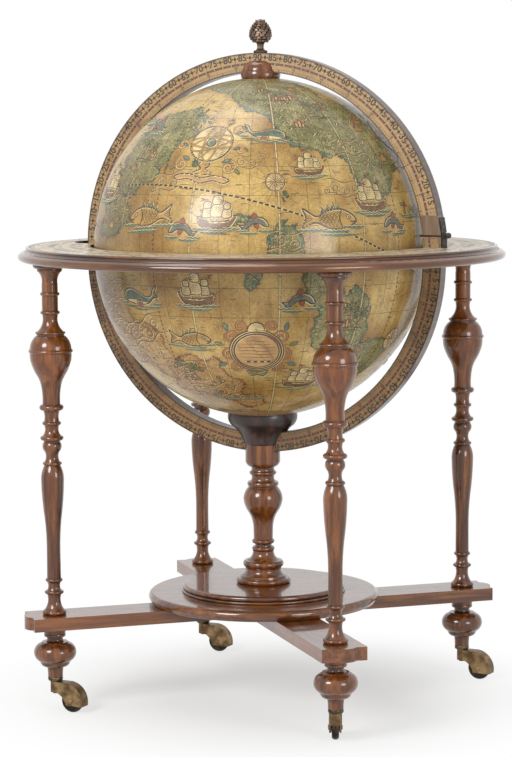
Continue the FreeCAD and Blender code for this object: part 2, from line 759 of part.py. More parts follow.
def cross_board(label, quarter, lap_level):
    """One board of the cross, halved where the other crosses it, with a shaped nose at each end."""
    body = new_body(label)
    half = "(board_width / 2)"
    ear = f"({BOARD_REACH} - board_nose)"
    cusp = f"({half} - board_ear)"
    flank = f"({BOARD_REACH} - board_nose_rise)"
    right_end = [
        (ear, f"-{half}", 0),
        (ear, f"-{cusp}", COVE),
        (flank, "-board_nose_half", (BOARD_REACH, "0")),
        (flank, "board_nose_half", COVE),
        (ear, cusp, 0),
        (ear, half, 0),
    ]
    left_end = []
    for x, y, edge in right_end:
        opposite = (f"-{edge[0]}", "0") if isinstance(edge, tuple) else edge
        left_end.append((f"-({x})", f"-({y})", opposite))
    extrude("Pad", body, "XY_Plane", "board_thickness", [right_end + left_end], symmetric=False)
    lap_half = f"({half} + glue_gap)"
    lap = rectangle(f"-{lap_half}", lap_half, f"-{lap_half}", lap_half)
    extrude(
        "Pocket", body, "XY_Plane", "board_thickness / 2", [lap],
        level=lap_level, symmetric=False, reverse=True)
    holes = [
        (LEG_CIRCLE, "0", f"{DOWEL_HOLE} / 2"),
        (f"-{LEG_CIRCLE}", "0", f"{DOWEL_HOLE} / 2"),
        ("0", "0", f"{TENON_HOLE} / 2"),
    ]
    extrude("Pocket", body, "XY_Plane", "3 * board_thickness", holes)
    place(body, z=BOARD_UNDERSIDE, turn=f"leg_bearing + {90 * quarter}")


def dowel_group(label, level, length):
    """Four dowels, one at each leg."""
    rods = []
    for name, quarter in CORNERS.items():
        rod = doc.addObject("Part::Cylinder", f"{label}_{name}")
        rod.setExpression("Radius", bound("dowel_dia / 2"))
        rod.setExpression("Height", bound(length))
        place(rod, corner_x(quarter), corner_y(quarter), level)
        rods.append(rod)
    group = doc.addObject("Part::Compound", label)
    group.Label = label
    group.Links = rods
    pieces.append(group)


def at_each_corner(kind, make, level="0", swivels=False, trail="0"):
    """Make a piece for the first corner, repeat it for the others, and set each in its place.

    A piece that swivels stands turned as its caster is, and a trail carries it out from the pivot.
    """
    original = None
    for name, quarter in CORNERS.items():
        label = f"{name}_{kind}"
        if original is None:
            body = make(label)
            original = body
        else:
            body = new_body(label)
            copy = body.newObject("PartDesign::FeatureBase", f"{label}_copy")
            copy.BaseFeature = original
            body.Tip = copy
        x = corner_x(quarter)
        y = corner_y(quarter)
        turn = None
        if swivels:
            turn = "caster_turn_front" if name == FRONT_CASTER else "caster_turn"
        if trail != "0":
            x = f"{x} + {trail} * cos({turn})"
            y = f"{y} + {trail} * sin({turn})"
        place(body, x, y, level, turn)


def leg(label):
    """A turned leg, socketed at both ends for dowels."""
    socket = (DOWEL_HOLE, "dowel_leg")
    return turned(label, "leg", bottom_socket=socket, top_socket=socket)


def foot(label):
    """A turned foot, socketed below for the caster's shank and above for a dowel."""
    return turned(
        label, "foot",
        bottom_socket=(SHANK_HOLE, "shank_length"), top_socket=(DOWEL_HOLE, "dowel_foot"))


def legs_and_feet():
    """The four turned legs, the four turned feet under the boards, and the dowels that join them."""
    at_each_corner("leg", leg, BOARD_TOP)
    at_each_corner("foot", foot, FERRULE_TOP)
    dowel_group("upper_dowels", f"{RING_UNDERSIDE} - dowel_leg", "dowel_leg + dowel_ring")
    dowel_group(
        "lower_dowels", f"{BOARD_UNDERSIDE} - dowel_foot", "dowel_foot + board_thickness + dowel_leg")


def column():
    """The turned column, with a slot above for the meridian and a tenon through discs and boards."""
    body = new_body("column")
    tenon = f"({STEP_TOP} - {BOARD_UNDERSIDE})"
    outer, end = schedule_corners("column", tenon)
    foot = [("0", "0", 0), ("column_tenon_dia / 2", "0", 0), ("column_tenon_dia / 2", tenon, 0)]
    revolve(body, foot + outer + [("0", end, 0)])
    top = f"({COLUMN_TOP} - {BOARD_UNDERSIDE})"
    side = "column_block_low"
    slot = rectangle(f"-{side}", side, f"{top} - meridian_seat - seat_gap", f"{top} + meridian_seat")
    extrude("Pocket", body, "XZ_Plane", SLOT_WIDTH, [slot])
    place(body, z=BOARD_UNDERSIDE)


def pole_cup():
    """The turned cup that the bowl rests in, slotted over the meridian."""
    body = new_body("pole_cup")
    outer, _ = schedule_corners("cup")
    ball = f"({BOWL_CENTRE} - {COLUMN_TOP})"
    seat_middle = f"{ball} - sqrt({SEAT_RADIUS}^2 - (cup_rim_high / 4)^2)"
    rim = (outer[-1][0], outer[-1][1], ("cup_rim_high / 4", seat_middle))
    revolve(body, [("0", "0", 0)] + outer[:-1] + [rim, ("0", f"{ball} - {SEAT_RADIUS}", 0)])
    arc = f"({MERIDIAN_INNER} - slot_gap)"
    centre = f"({LOWER_ARC_CENTRE} - {COLUMN_TOP})"
    side = "cup_rim_high"
    shoulder = f"{centre} - sqrt({arc}^2 - {side}^2)"
    slot = [
        (f"-{side}", "-meridian_seat", 0),
        (side, "-meridian_seat", 0),
        (side, shoulder, ("0", f"{centre} - {arc}")),
        (f"-{side}", shoulder, 0),
    ]
    extrude("Pocket", body, "XZ_Plane", SLOT_WIDTH, [slot])
    place(body, z=COLUMN_TOP)


def pole_hub():
    """The turned hub on the top of the lid, slotted over the meridian."""
    body = new_body("pole_hub")
    outer, end = schedule_corners("hub")
    ball = f"({LID_CENTRE} - {HUB_RIM})"
    seat_middle = f"{ball} + sqrt({SEAT_RADIUS}^2 - (hub_band_low / 4)^2)"
    crown = ("0", f"{ball} + {SEAT_RADIUS}", ("hub_band_low / 4", seat_middle))
    revolve(body, [crown] + outer + [("0", end, 0)])
    arc = f"({MERIDIAN_INNER} - slot_gap)"
    centre = f"({UPPER_ARC_CENTRE} - {HUB_RIM})"
    side = "hub_band_low"
    shoulder = f"{centre} + sqrt({arc}^2 - {side}^2)"
    slot = [
        (f"-{side}", shoulder, ("0", f"{centre} + {arc}")),
        (side, shoulder, 0),
        (side, f"{end} + meridian_width", 0),
        (f"-{side}", f"{end} + meridian_width", 0),
    ]
    extrude("Pocket", body, "XZ_Plane", SLOT_WIDTH, [slot])
    place(body, z=HUB_RIM)


def finial():
    """The stem and the cone on top of the meridian."""
    place(turned("finial_stem", "stem"), z=MERIDIAN_TOP)
    place(turned("finial_cone", "cone"), z=f"{MERIDIAN_TOP} + {height_of('stem')}")


def bowl_disc(label, depth, thickness):
    """A disc across the bowl, whose edge follows the wall, in a frame on the bowl's centre."""
    body = new_body(label)
    below = f"({depth} + {thickness})"
    revolve(body, [
        ("0", f"-{below}", 0),
        (f"sqrt({LINER_RADIUS}^2 - {below}^2)", f"-{below}", 0),
        (f"sqrt({LINER_RADIUS}^2 - {depth}^2)", f"-{depth}", 0),
        ("0", f"-{depth}", 0),
    ])
    place(body, z=BOWL_CENTRE)
    return body


def bar_fittings():
    """The tray with holes for bottles and glasses, and the floor that the bottles stand on."""
    bowl_disc("well_floor", FLOOR_DEPTH, "floor_thickness")
    tray = bowl_disc("bottle_tray", "tray_depth", "tray_thickness")
    cut = "3 * tray_thickness"
    level = "-tray_depth"
    extrude("Pocket", tray, "XY_Plane", cut, [("0", "0", "well_dia / 2")], level=level)
    glass = (GLASS_CIRCLE, "0", "glass_dia / 2")
    hole = extrude("Pocket", tray, "XY_Plane", cut, [glass], level=level)
    repeat_round(tray, hole, GLASS_COUNT)


def caster_socket(label):
    """The ferrule under a foot, with a shank up into the wood and the pivot that the horn turns on."""
    body = new_body(label)
    pivot = "(pivot_dia / 2 - pivot_gap)"
    head_top = f"({BOSS_BOTTOM} - run_gap)"
    shank_top = f"{FERRULE_TOP} + shank_length"
    revolve(body, [
        ("0", f"{head_top} - pivot_head", 0),
        (f"{pivot} + run_gap", f"{head_top} - pivot_head", RIVET),
        ("pivot_head_dia / 2", head_top, 0),
        (pivot, head_top, 0),
        (pivot, FERRULE_BOTTOM, 0),
        ("ferrule_dia / 2", FERRULE_BOTTOM, FERRULE),
        ("ferrule_dia / 2", FERRULE_TOP, 0),
        ("shank_dia / 2", FERRULE_TOP, 0),
        ("shank_dia / 2", shank_top, 0),
        ("0", shank_top, 0),
    ])
    return body


def caster_horn(label):
    """The cast horn: a boss on the pivot, and a hood over the wheel with a cheek on each side."""
    body = new_body(label)
    side = [
        ("pivot_dia / 2", HORN_TOP, 0),
        ("pivot_dia / 2", BOSS_BOTTOM, 0),
        ("boss_dia / 2", BOSS_BOTTOM, HORN_THROAT),
        ("caster_trail - horn_heel", "horn_lip", 0),
        (HORN_REACH, "horn_lip", HORN_CROWN),
        ("caster_trail - horn_crest", HORN_TOP, 0),
    ]
    extrude("Pad", body, "XZ_Plane", HORN_WIDTH, [side])
    boss = [("0", "0", "boss_dia / 2")]
    extrude("Pad", body, "XY_Plane", "boss_height", boss, level=BOSS_BOTTOM, symmetric=False)
    inner_nose = f"({HORN_REACH} - horn_strap)"
    inner_top = f"({HORN_TOP} - horn_strap)"
    hollow = [
        ("boss_dia / 2 + horn_strap", "0", 0),
        (inner_nose, "0", 0),
        (inner_nose, "horn_lip", HORN_CROWN),
        ("caster_trail - horn_crest", inner_top, 0),
        ("boss_dia / 2 + horn_strap", f"{inner_top} - horn_crest", 0),
    ]
    extrude("Pocket", body, "XZ_Plane", HORN_SLOT, [hollow])
    extrude("Pocket", body, "XY_Plane", f"4 * {BOSS_TOP}", [("0", "0", "pivot_dia / 2")])
    axle_hole = ("caster_trail", AXLE_LEVEL, "axle_dia / 2 + pin_gap")
    extrude("Pocket", body, "XZ_Plane", f"2 * {HORN_WIDTH}", [axle_hole])
    return body


def caster_axle(label):
    """The riveted axle, in a frame on the wheel's centre."""
    body = new_body(label)
    seat = f"({HORN_WIDTH} / 2)"
    end = f"({seat} + axle_head)"
    shaft = "axle_dia / 2"
    revolve(body, [
        (f"-{end}", "0", 0),
        (f"-{end}", shaft, -RIVET),
        (f"-{seat}", "axle_head_dia / 2", 0),
        (f"-{seat}", shaft, 0),
        (seat, shaft, 0),
        (seat, "axle_head_dia / 2", -RIVET),
        (end, shaft, 0),
        (end, "0", 0),
    ], "YZ_Plane", "H_Axis")
    return body


def caster_wheel(label):
    """The wheel, crowned at the tread and proud at the hub, in a frame on its own centre."""
    body = new_body(label)
    bore = "(axle_dia / 2 + pin_gap)"
    half = "(wheel_width / 2)"
    hub = f"({half} + wheel_hub_proud)"
    shoulder = "(wheel_dia / 2 - wheel_crown)"
    revolve(body, [
        (f"-{hub}", bore, 0),
        (f"-{hub}", "wheel_hub_dia / 2", 0),
        (f"-{half}", "wheel_hub_dia / 2", 0),
        (f"-{half}", shoulder, ("0", "wheel_dia / 2")),
        (half, shoulder, 0),
        (half, "wheel_hub_dia / 2", 0),
        (hub, "wheel_hub_dia / 2", 0),
        (hub, bore, 0),
    ], "YZ_Plane", "H_Axis")
    return body


def casters():
    """A caster under each foot, as it stands turned in its socket."""
    at_each_corner("caster_socket", caster_socket)
    at_each_corner("caster_horn", caster_horn, swivels=True)
    at_each_corner("caster_axle", caster_axle, AXLE_LEVEL, swivels=True, trail="caster_trail")
    at_each_corner("caster_wheel", caster_wheel, AXLE_LEVEL, swivels=True, trail="caster_trail")


def build():
    """Make every piece of the globe bar."""
    horizon_ring()
    horizon_paper()
    legs_and_feet()
    cross_board("lower_cross_board", 0, "board_thickness / 2")
    cross_board("upper_cross_board", 1, "0")
    bored_disc("base_disc", "disc", BOARD_TOP)
    bored_disc("base_step", "step", DISC_TOP)
    column()
    pole_cup()
    lower_meridian()
    half_shell("lower_shell", BOWL_CENTRE)
    rim_hoop("lower_rim", BOWL_CENTRE)
    bar_fittings()
    casters()
    upper_meridian()
    turn_over(half_shell("upper_shell", LID_CENTRE))
    turn_over(rim_hoop("upper_rim", LID_CENTRE))
    hinge_block()
    hinge()
    pole_hub()
    finial()


def check():
    """Stop before writing anything if a feature failed, cut nothing or left an unsound solid."""
    for item in doc.Objects:
        if "Invalid" in item.State or "Error" in item.State:
            raise RuntimeError(f"{item.Label} failed: {item.State}")
        if item.TypeId == "Sketcher::SketchObject" and not item.FullyConstrained:
            raise RuntimeError(f"{item.Label} is not fully held")
        if item.TypeId == "PartDesign::Pocket" and item.Shape.Volume >= item.BaseFeature.Shape.Volume:
            raise RuntimeError(f"{item.Label} cuts nothing")
    for piece in pieces:
        if piece.Shape.isNull() or not piece.Shape.isValid():
            raise RuntimeError(f"{piece.Label} has no sound shape")


build()
doc.recompute()
check()
os.makedirs("parts", exist_ok=True)
for piece in pieces:
    piece.Shape.exportStep(f"parts/{piece.Label}.step")
print(f"{len(pieces)} pieces written")
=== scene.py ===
"""Dresses the globe bar: a turned walnut stand, a printed globe in two halves and brass casters."""

import logging
import math
import random
from dataclasses import dataclass, field
from enum import Enum
from typing import Mapping, Sequence

import bmesh
import bpy
from mathutils import Matrix, Vector
from mathutils.geometry import interpolate_bezier

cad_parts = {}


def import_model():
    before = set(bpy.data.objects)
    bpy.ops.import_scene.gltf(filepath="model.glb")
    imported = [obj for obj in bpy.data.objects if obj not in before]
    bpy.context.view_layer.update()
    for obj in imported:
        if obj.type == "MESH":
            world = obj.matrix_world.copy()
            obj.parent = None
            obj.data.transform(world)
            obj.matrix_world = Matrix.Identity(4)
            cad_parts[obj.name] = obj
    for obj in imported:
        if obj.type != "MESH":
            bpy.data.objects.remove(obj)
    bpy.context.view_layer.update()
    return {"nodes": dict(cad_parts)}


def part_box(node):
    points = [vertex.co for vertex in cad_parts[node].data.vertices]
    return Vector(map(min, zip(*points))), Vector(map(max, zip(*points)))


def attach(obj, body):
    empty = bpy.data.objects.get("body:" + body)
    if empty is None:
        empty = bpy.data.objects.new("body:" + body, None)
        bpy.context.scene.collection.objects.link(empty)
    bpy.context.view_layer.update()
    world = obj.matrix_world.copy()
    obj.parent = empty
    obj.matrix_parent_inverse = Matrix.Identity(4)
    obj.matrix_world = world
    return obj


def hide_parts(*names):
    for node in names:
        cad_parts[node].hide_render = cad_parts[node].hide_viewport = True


LOG = logging.getLogger("globe_bar")
UP = Vector((0.0, 0.0, 1.0))
WHITE = (1.0, 1.0, 1.0, 1.0)
DEGREES = 180.0 / math.pi
MILLIMETRE = 0.001

BMesh = bmesh.types.BMesh
Material = bpy.types.Material
Colour = tuple[float, float, float]
Point = tuple[float, float]


def tone(red: int, green: int, blue: int) -> Colour:
    """Gives a screen colour, 0 to 255 a channel, as linear light."""
    parts = [channel / 255.0 for channel in (red, green, blue)]
    return tuple(p / 12.92 if p <= 0.04045 else ((p + 0.055) / 1.055) ** 2.4 for p in parts)


class Shade:
    """A socket that takes part in sums: each operator adds a Math node to its sheet."""

    def __init__(self, sheet: "ShaderSheet", socket: bpy.types.NodeSocket) -> None:
        """Keeps the socket and the sheet that its node stands on."""
        self.sheet = sheet
        self.socket = socket

    def __add__(self, other: "Shade | float") -> "Shade":
        """Sum."""
        return self.sheet.math("ADD", self, other)

    def __radd__(self, other: float) -> "Shade":
        """Sum, with a number on the left."""
        return self.sheet.math("ADD", other, self)

    def __sub__(self, other: "Shade | float") -> "Shade":
        """Difference."""
        return self.sheet.math("SUBTRACT", self, other)

    def __rsub__(self, other: float) -> "Shade":
        """Difference, with a number on the left."""
        return self.sheet.math("SUBTRACT", other, self)

    def __mul__(self, other: "Shade | float") -> "Shade":
        """Product."""
        return self.sheet.math("MULTIPLY", self, other)

    def __rmul__(self, other: float) -> "Shade":
        """Product, with a number on the left."""
        return self.sheet.math("MULTIPLY", other, self)

    def __truediv__(self, other: "Shade | float") -> "Shade":
        """Quotient."""
        return self.sheet.math("DIVIDE", self, other)

    def __rtruediv__(self, other: float) -> "Shade":
        """Quotient, with a number on the left."""
        return self.sheet.math("DIVIDE", other, self)

    def __mod__(self, other: float) -> "Shade":
        """Remainder, always from 0 up."""
        return self.sheet.math("FLOORED_MODULO", self, other)

    def __pow__(self, other: float) -> "Shade":
        """Power."""
        return self.sheet.math("POWER", self, other)

    def __abs__(self) -> "Shade":
        """Size without sign."""
        return self.sheet.math("ABSOLUTE", self)

    def ease(self, start: float, end: float) -> "Shade":
        """Rises smoothly from 0 at start to 1 at end, and holds outside them."""
        settings = {"interpolation_type": "SMOOTHSTEP", "clamp": True}
        inputs = {"Value": self, "From Min": start, "From Max": end}
        return self.sheet.node("ShaderNodeMapRange", settings, inputs)

    def near(self, place: float, half_width: float, soft: float) -> "Shade":
        """A band round a place: 1 within its half width, falling to 0 over the soft edge."""
        return 1.0 - abs(self - place).ease(half_width, half_width + soft)


class ShaderSheet:
    """The node tree of one finish, with the few nodes that finishes share."""

    LOW_COLOUR = 6
    HIGH_COLOUR = 7
    MIXED_COLOUR = 2

    def __init__(self, owner: Material | bpy.types.World) -> None:
        """Clears the owner's node tree."""
        self.owner = owner
        owner.use_nodes = True
        self.tree = owner.node_tree
        self.tree.nodes.clear()

    def node(
        self,
        kind: str,
        settings: Mapping[str, object] | None = None,
        inputs: Mapping[str | int, object] | None = None,
        output: str | int = 0,
    ) -> Shade | None:
        """Adds a node.

        Args:
            kind: The node's type.
            settings: Its own settings, set first.
            inputs: Numbers, colours or other sockets, by the socket's name or number.
            output: The socket to hand back.

        Returns:
            The chosen output, or nothing from a node that only takes.
        """
        made = self.tree.nodes.new(kind)
        for name, setting in (settings or {}).items():
            setattr(made, name, setting)
        for key, given in (inputs or {}).items():
            if isinstance(given, Shade):
                self.tree.links.new(given.socket, made.inputs[key])
            else:
                made.inputs[key].default_value = given
        return Shade(self, made.outputs[output]) if made.outputs else None

    def math(self, operation: str, *operands: "Shade | float") -> Shade:
        """Adds a Math node."""
        return self.node("ShaderNodeMath", {"operation": operation}, dict(enumerate(operands)))

    def vector(self, operation: str, *operands: object, output: str = "Vector") -> Shade:
        """Adds a Vector Math node."""
        return self.node("ShaderNodeVectorMath", {"operation": operation}, dict(enumerate(operands)), output)

    def scaled(self, vector: Shade, amount: float) -> Shade:
        """Makes a vector longer or shorter."""
        return self.node("ShaderNodeVectorMath", {"operation": "SCALE"}, {0: vector, "Scale": amount})

    def toward(self, vector: Shade, way: Vector) -> Shade:
        """How far a point lies in a direction."""
        return self.vector("DOT_PRODUCT", vector, tuple(way), output="Value")

    def degrees(self, up: Shade, right: Shade) -> Shade:
        """The angle of a point round a centre, in degrees counterclockwise from the right."""
        return self.math("ARCTAN2", up, right) * DEGREES

    @staticmethod
    def away(right: Shade, up: Shade) -> Shade:
        """How far a point is from a centre."""
        return (right * right + up * up) ** 0.5

    def mix(self, factor: "Shade | float", low: object, high: object) -> Shade:
        """Mixes two colours, each a colour or a socket."""
        settings = {"data_type": "RGBA", "clamp_factor": True}
        inputs = {0: factor, self.LOW_COLOUR: self._full(low), self.HIGH_COLOUR: self._full(high)}
        return self.node("ShaderNodeMix", settings, inputs, self.MIXED_COLOUR)

    def coats(self, ground: object, *coats: tuple["Shade | float", object]) -> Shade:
        """Lays colours over a ground, each after the mask that says where it covers."""
        for mask, colour in coats:
            ground = self.mix(mask, ground, colour)
        return ground

    @staticmethod
    def _full(colour: object) -> object:
        """Adds the fourth channel that a colour socket needs."""
        return colour if isinstance(colour, Shade) else (*colour, 1.0)

    def place(self) -> Shade:
        """The point in the object's own frame, which is the frame of the whole model."""
        return self.node("ShaderNodeTexCoord", output="Object")

    def parts(self, vector: Shade) -> tuple[Shade, Shade, Shade]:
        """Splits a vector."""
        split = self.node("ShaderNodeSeparateXYZ", inputs={0: vector})
        outputs = split.socket.node.outputs
        return tuple(Shade(self, outputs[index]) for index in range(3))

    def joined(self, x: "Shade | float", y: "Shade | float", z: "Shade | float") -> Shade:
        """Makes a vector of three numbers."""
        return self.node("ShaderNodeCombineXYZ", inputs={0: x, 1: y, 2: z})

    def noise(
        self, vector: Shade, scale: float, detail: float = 3.0, roughness: float = 0.5, output: str = "Fac"
    ) -> Shade:
        """Adds a Noise node."""
        inputs = {"Vector": vector, "Scale": scale, "Detail": detail, "Roughness": roughness}
        return self.node("ShaderNodeTexNoise", None, inputs, output)

    def crevice(self, reach: float) -> Shade:
        """One in the open, falling towards zero in a hollow no wider than the reach; finishes paint shade
        into their colour with it.
        """
        settings = {"samples": 6, "only_local": True}
        return self.node("ShaderNodeAmbientOcclusion", settings, {"Distance": reach}, "AO")

    def bump(self, height: Shade, strength: float, distance: float) -> Shade:
        """Turns a height into a normal."""
        inputs = {"Height": height, "Strength": strength, "Distance": distance}
        return self.node("ShaderNodeBump", None, inputs, "Normal")

    def seen(self) -> Shade:
        """One for rays that the eye follows: straight, mirrored or through glass."""
        straight, mirrored, through = (
            self.node("ShaderNodeLightPath", output=f"Is {kind} Ray")
            for kind in ("Camera", "Glossy", "Transmission")
        )
        return self.math("MAXIMUM", self.math("MAXIMUM", straight, mirrored), through)

    def surface(self, **sockets: object) -> Material:
        """Closes the tree with a Principled shader, whose sockets are named with underscores."""
        inputs = {name.replace("_", " ").replace("Ior", "IOR"): given for name, given in sockets.items()}
        shader = self.node("ShaderNodeBsdfPrincipled", None, inputs)
        self.node("ShaderNodeOutputMaterial", None, {"Surface": shader})
        return self.owner


@dataclass(frozen=True)
class Finish:
    """What all finishes share: a name, and the sheet that the material is built on."""

    name: str

    def sheet(self) -> ShaderSheet:
        """Starts the material."""
        return ShaderSheet(bpy.data.materials.new(self.name))


class Grain(Enum):
    """Which way the wood's fibres run."""

    UPRIGHT = "upright"
    ALONG = "along"
    AROUND = "around"


@dataclass(frozen=True)
class PolishedWood(Finish):
    """French-polished walnut, dark in its pores, with painted shade in its grooves."""

    dark: Colour = tone(62, 31, 13)
    middle: Colour = tone(112, 61, 25)
    light: Colour = tone(158, 97, 44)
    # Near-black painted shade, laid into the grooves by ambient occlusion.
    groove: Colour = tone(22, 10, 6)
    grain: Grain = Grain.UPRIGHT
    bearing: float = 0.0
    stretch: float = 0.07
    polish: float = 0.80
    gloss: float = 0.06
    varnish: float = 1.5
    ring_radius: float = 0.4

    def _fibres(self, sheet: ShaderSheet) -> Shade:
        """Gives the point squeezed along the fibres, so that noise on it runs with the grain.

        Args:
            sheet: The finish's sheet.

        Returns:
            The squeezed point.
        """
        place = sheet.place()
        if self.grain is Grain.UPRIGHT:
            return sheet.vector("MULTIPLY", place, (1.0, 1.0, self.stretch))
        if self.grain is Grain.ALONG:
            turned = sheet.node(
                "ShaderNodeMapping", {"vector_type": "POINT"},
                {"Vector": place, "Rotation": (0.0, 0.0, -math.radians(self.bearing))})
            return sheet.vector("MULTIPLY", turned, (self.stretch, 1.0, 1.0))
        x, y, z = sheet.parts(place)
        around = sheet.math("ARCTAN2", y, x)
        return sheet.joined(around * (self.ring_radius * self.stretch), sheet.away(x, y), z)

    def make(self) -> Material:
        """Builds the material.

        Returns:
            The material.
        """
        sheet = self.sheet()
        fibres = self._fibres(sheet)
        wander = sheet.noise(fibres, 9.0, 2.0, 0.5, "Color")
        bent = sheet.vector("ADD", fibres, sheet.scaled(wander, 0.02))
        broad = sheet.noise(bent, 26.0, 3.0, 0.55)
        figure = sheet.noise(bent, 120.0, 3.0, 0.6)
        pores = sheet.noise(fibres, 900.0, 1.0, 0.4).ease(0.60, 0.72)
        crevice = sheet.crevice(0.010)
        patches = sheet.noise(sheet.place(), 60.0, 2.0)
        # The last coat is painted shade in the grooves, from the ambient occlusion above.
        colour = sheet.coats(
            self.dark, (broad.ease(0.30, 0.72), self.middle), (figure.ease(0.38, 0.78) * 0.65, self.light),
            (pores * 0.45, self.dark), ((1.0 - crevice.ease(0.40, 1.0)) * 0.92, self.groove))
        rough = 0.24 + 0.12 * patches + 0.15 * (1.0 - crevice)
        normal = sheet.bump(pores * -0.4 + figure * 0.25, 0.10, 0.0006)
        return sheet.surface(
            Base_Color=colour, Roughness=rough, Normal=normal, Coat_Weight=self.polish,
            Coat_Roughness=self.gloss, Coat_Ior=self.varnish, Specular_Ior_Level=0.25)


@dataclass(frozen=True)
class Ebonized(Finish):
    """Wood stained nearly black, with a soft wax sheen."""

    deep: Colour = tone(34, 22, 19)
    worn: Colour = tone(78, 52, 44)

    def make(self) -> Material:
        """Builds the material.

        Returns:
            The material.
        """
        sheet = self.sheet()
        fibres = sheet.vector("MULTIPLY", sheet.place(), (1.0, 1.0, 0.15))
        streak = sheet.noise(fibres, 60.0, 4.0, 0.6)
        colour = sheet.mix(streak.ease(0.40, 0.80), self.deep, self.worn)
        normal = sheet.bump(streak, 0.08, 0.0008)
        return sheet.surface(
            Base_Color=colour, Roughness=0.34 + 0.2 * streak, Normal=normal, Coat_Weight=0.25,
            Coat_Roughness=0.12)


@dataclass(frozen=True)
class AgedBrass(Finish):
    """Cast brass gone brown, bright where it is rubbed, dark in dirty spots, with painted shade in its
    crevices.
    """

    bright: Colour = tone(154, 128, 92)
    brown: Colour = tone(94, 72, 49)
    # The dark of the dirt spots, and of the painted shade in the crevices.
    dirt: Colour = tone(36, 28, 21)

    def make(self) -> Material:
        """Builds the material.

        Returns:
            The material.
        """
        sheet = self.sheet()
        place = sheet.place()
        cloud = sheet.noise(place, 55.0, 4.0, 0.6)
        spots = sheet.noise(place, 320.0, 3.0, 0.6)
        crevice = sheet.crevice(0.006)
        # Dirt spots, then painted shade in the crevices from ambient occlusion, both in the same dark.
        colour = sheet.coats(
            self.brown, (cloud.ease(0.35, 0.70), self.bright), (spots.ease(0.58, 0.75) * 0.5, self.dirt),
            ((1.0 - crevice.ease(0.30, 0.95)) * 0.85, self.dirt))
        rough = 0.30 + 0.25 * cloud + 0.15 * spots.ease(0.5, 0.8)
        normal = sheet.bump(spots * 0.4 + cloud, 0.15, 0.0008)
        return sheet.surface(Base_Color=colour, Roughness=rough, Metallic=0.9, Normal=normal)


@dataclass(frozen=True)
class BlackIron(Finish):
    """Blackened iron with rubbed edges."""

    black: Colour = tone(38, 34, 32)
    rubbed: Colour = tone(96, 86, 76)

    def make(self) -> Material:
        """Builds the material.

        Returns:
            The material.
        """
        sheet = self.sheet()
        cloud = sheet.noise(sheet.place(), 90.0, 4.0, 0.6)
        colour = sheet.mix(cloud.ease(0.52, 0.78), self.black, self.rubbed)
        normal = sheet.bump(cloud, 0.25, 0.0006)
        return sheet.surface(Base_Color=colour, Roughness=0.38 + 0.2 * cloud, Metallic=0.8, Normal=normal)


def mesh_data(name: str, mesh: BMesh) -> bpy.types.Mesh:
    """Hands a mesh over when its making is done."""
    data = bpy.data.meshes.new(name)
    mesh.to_mesh(data)
    mesh.free()
    return data


def shown(name: str, data: bpy.types.ID) -> bpy.types.Object:
    """Puts a mesh, lamp, camera or text into the scene."""
    item = bpy.data.objects.new(name, data)
    bpy.context.scene.collection.objects.link(item)
    return item


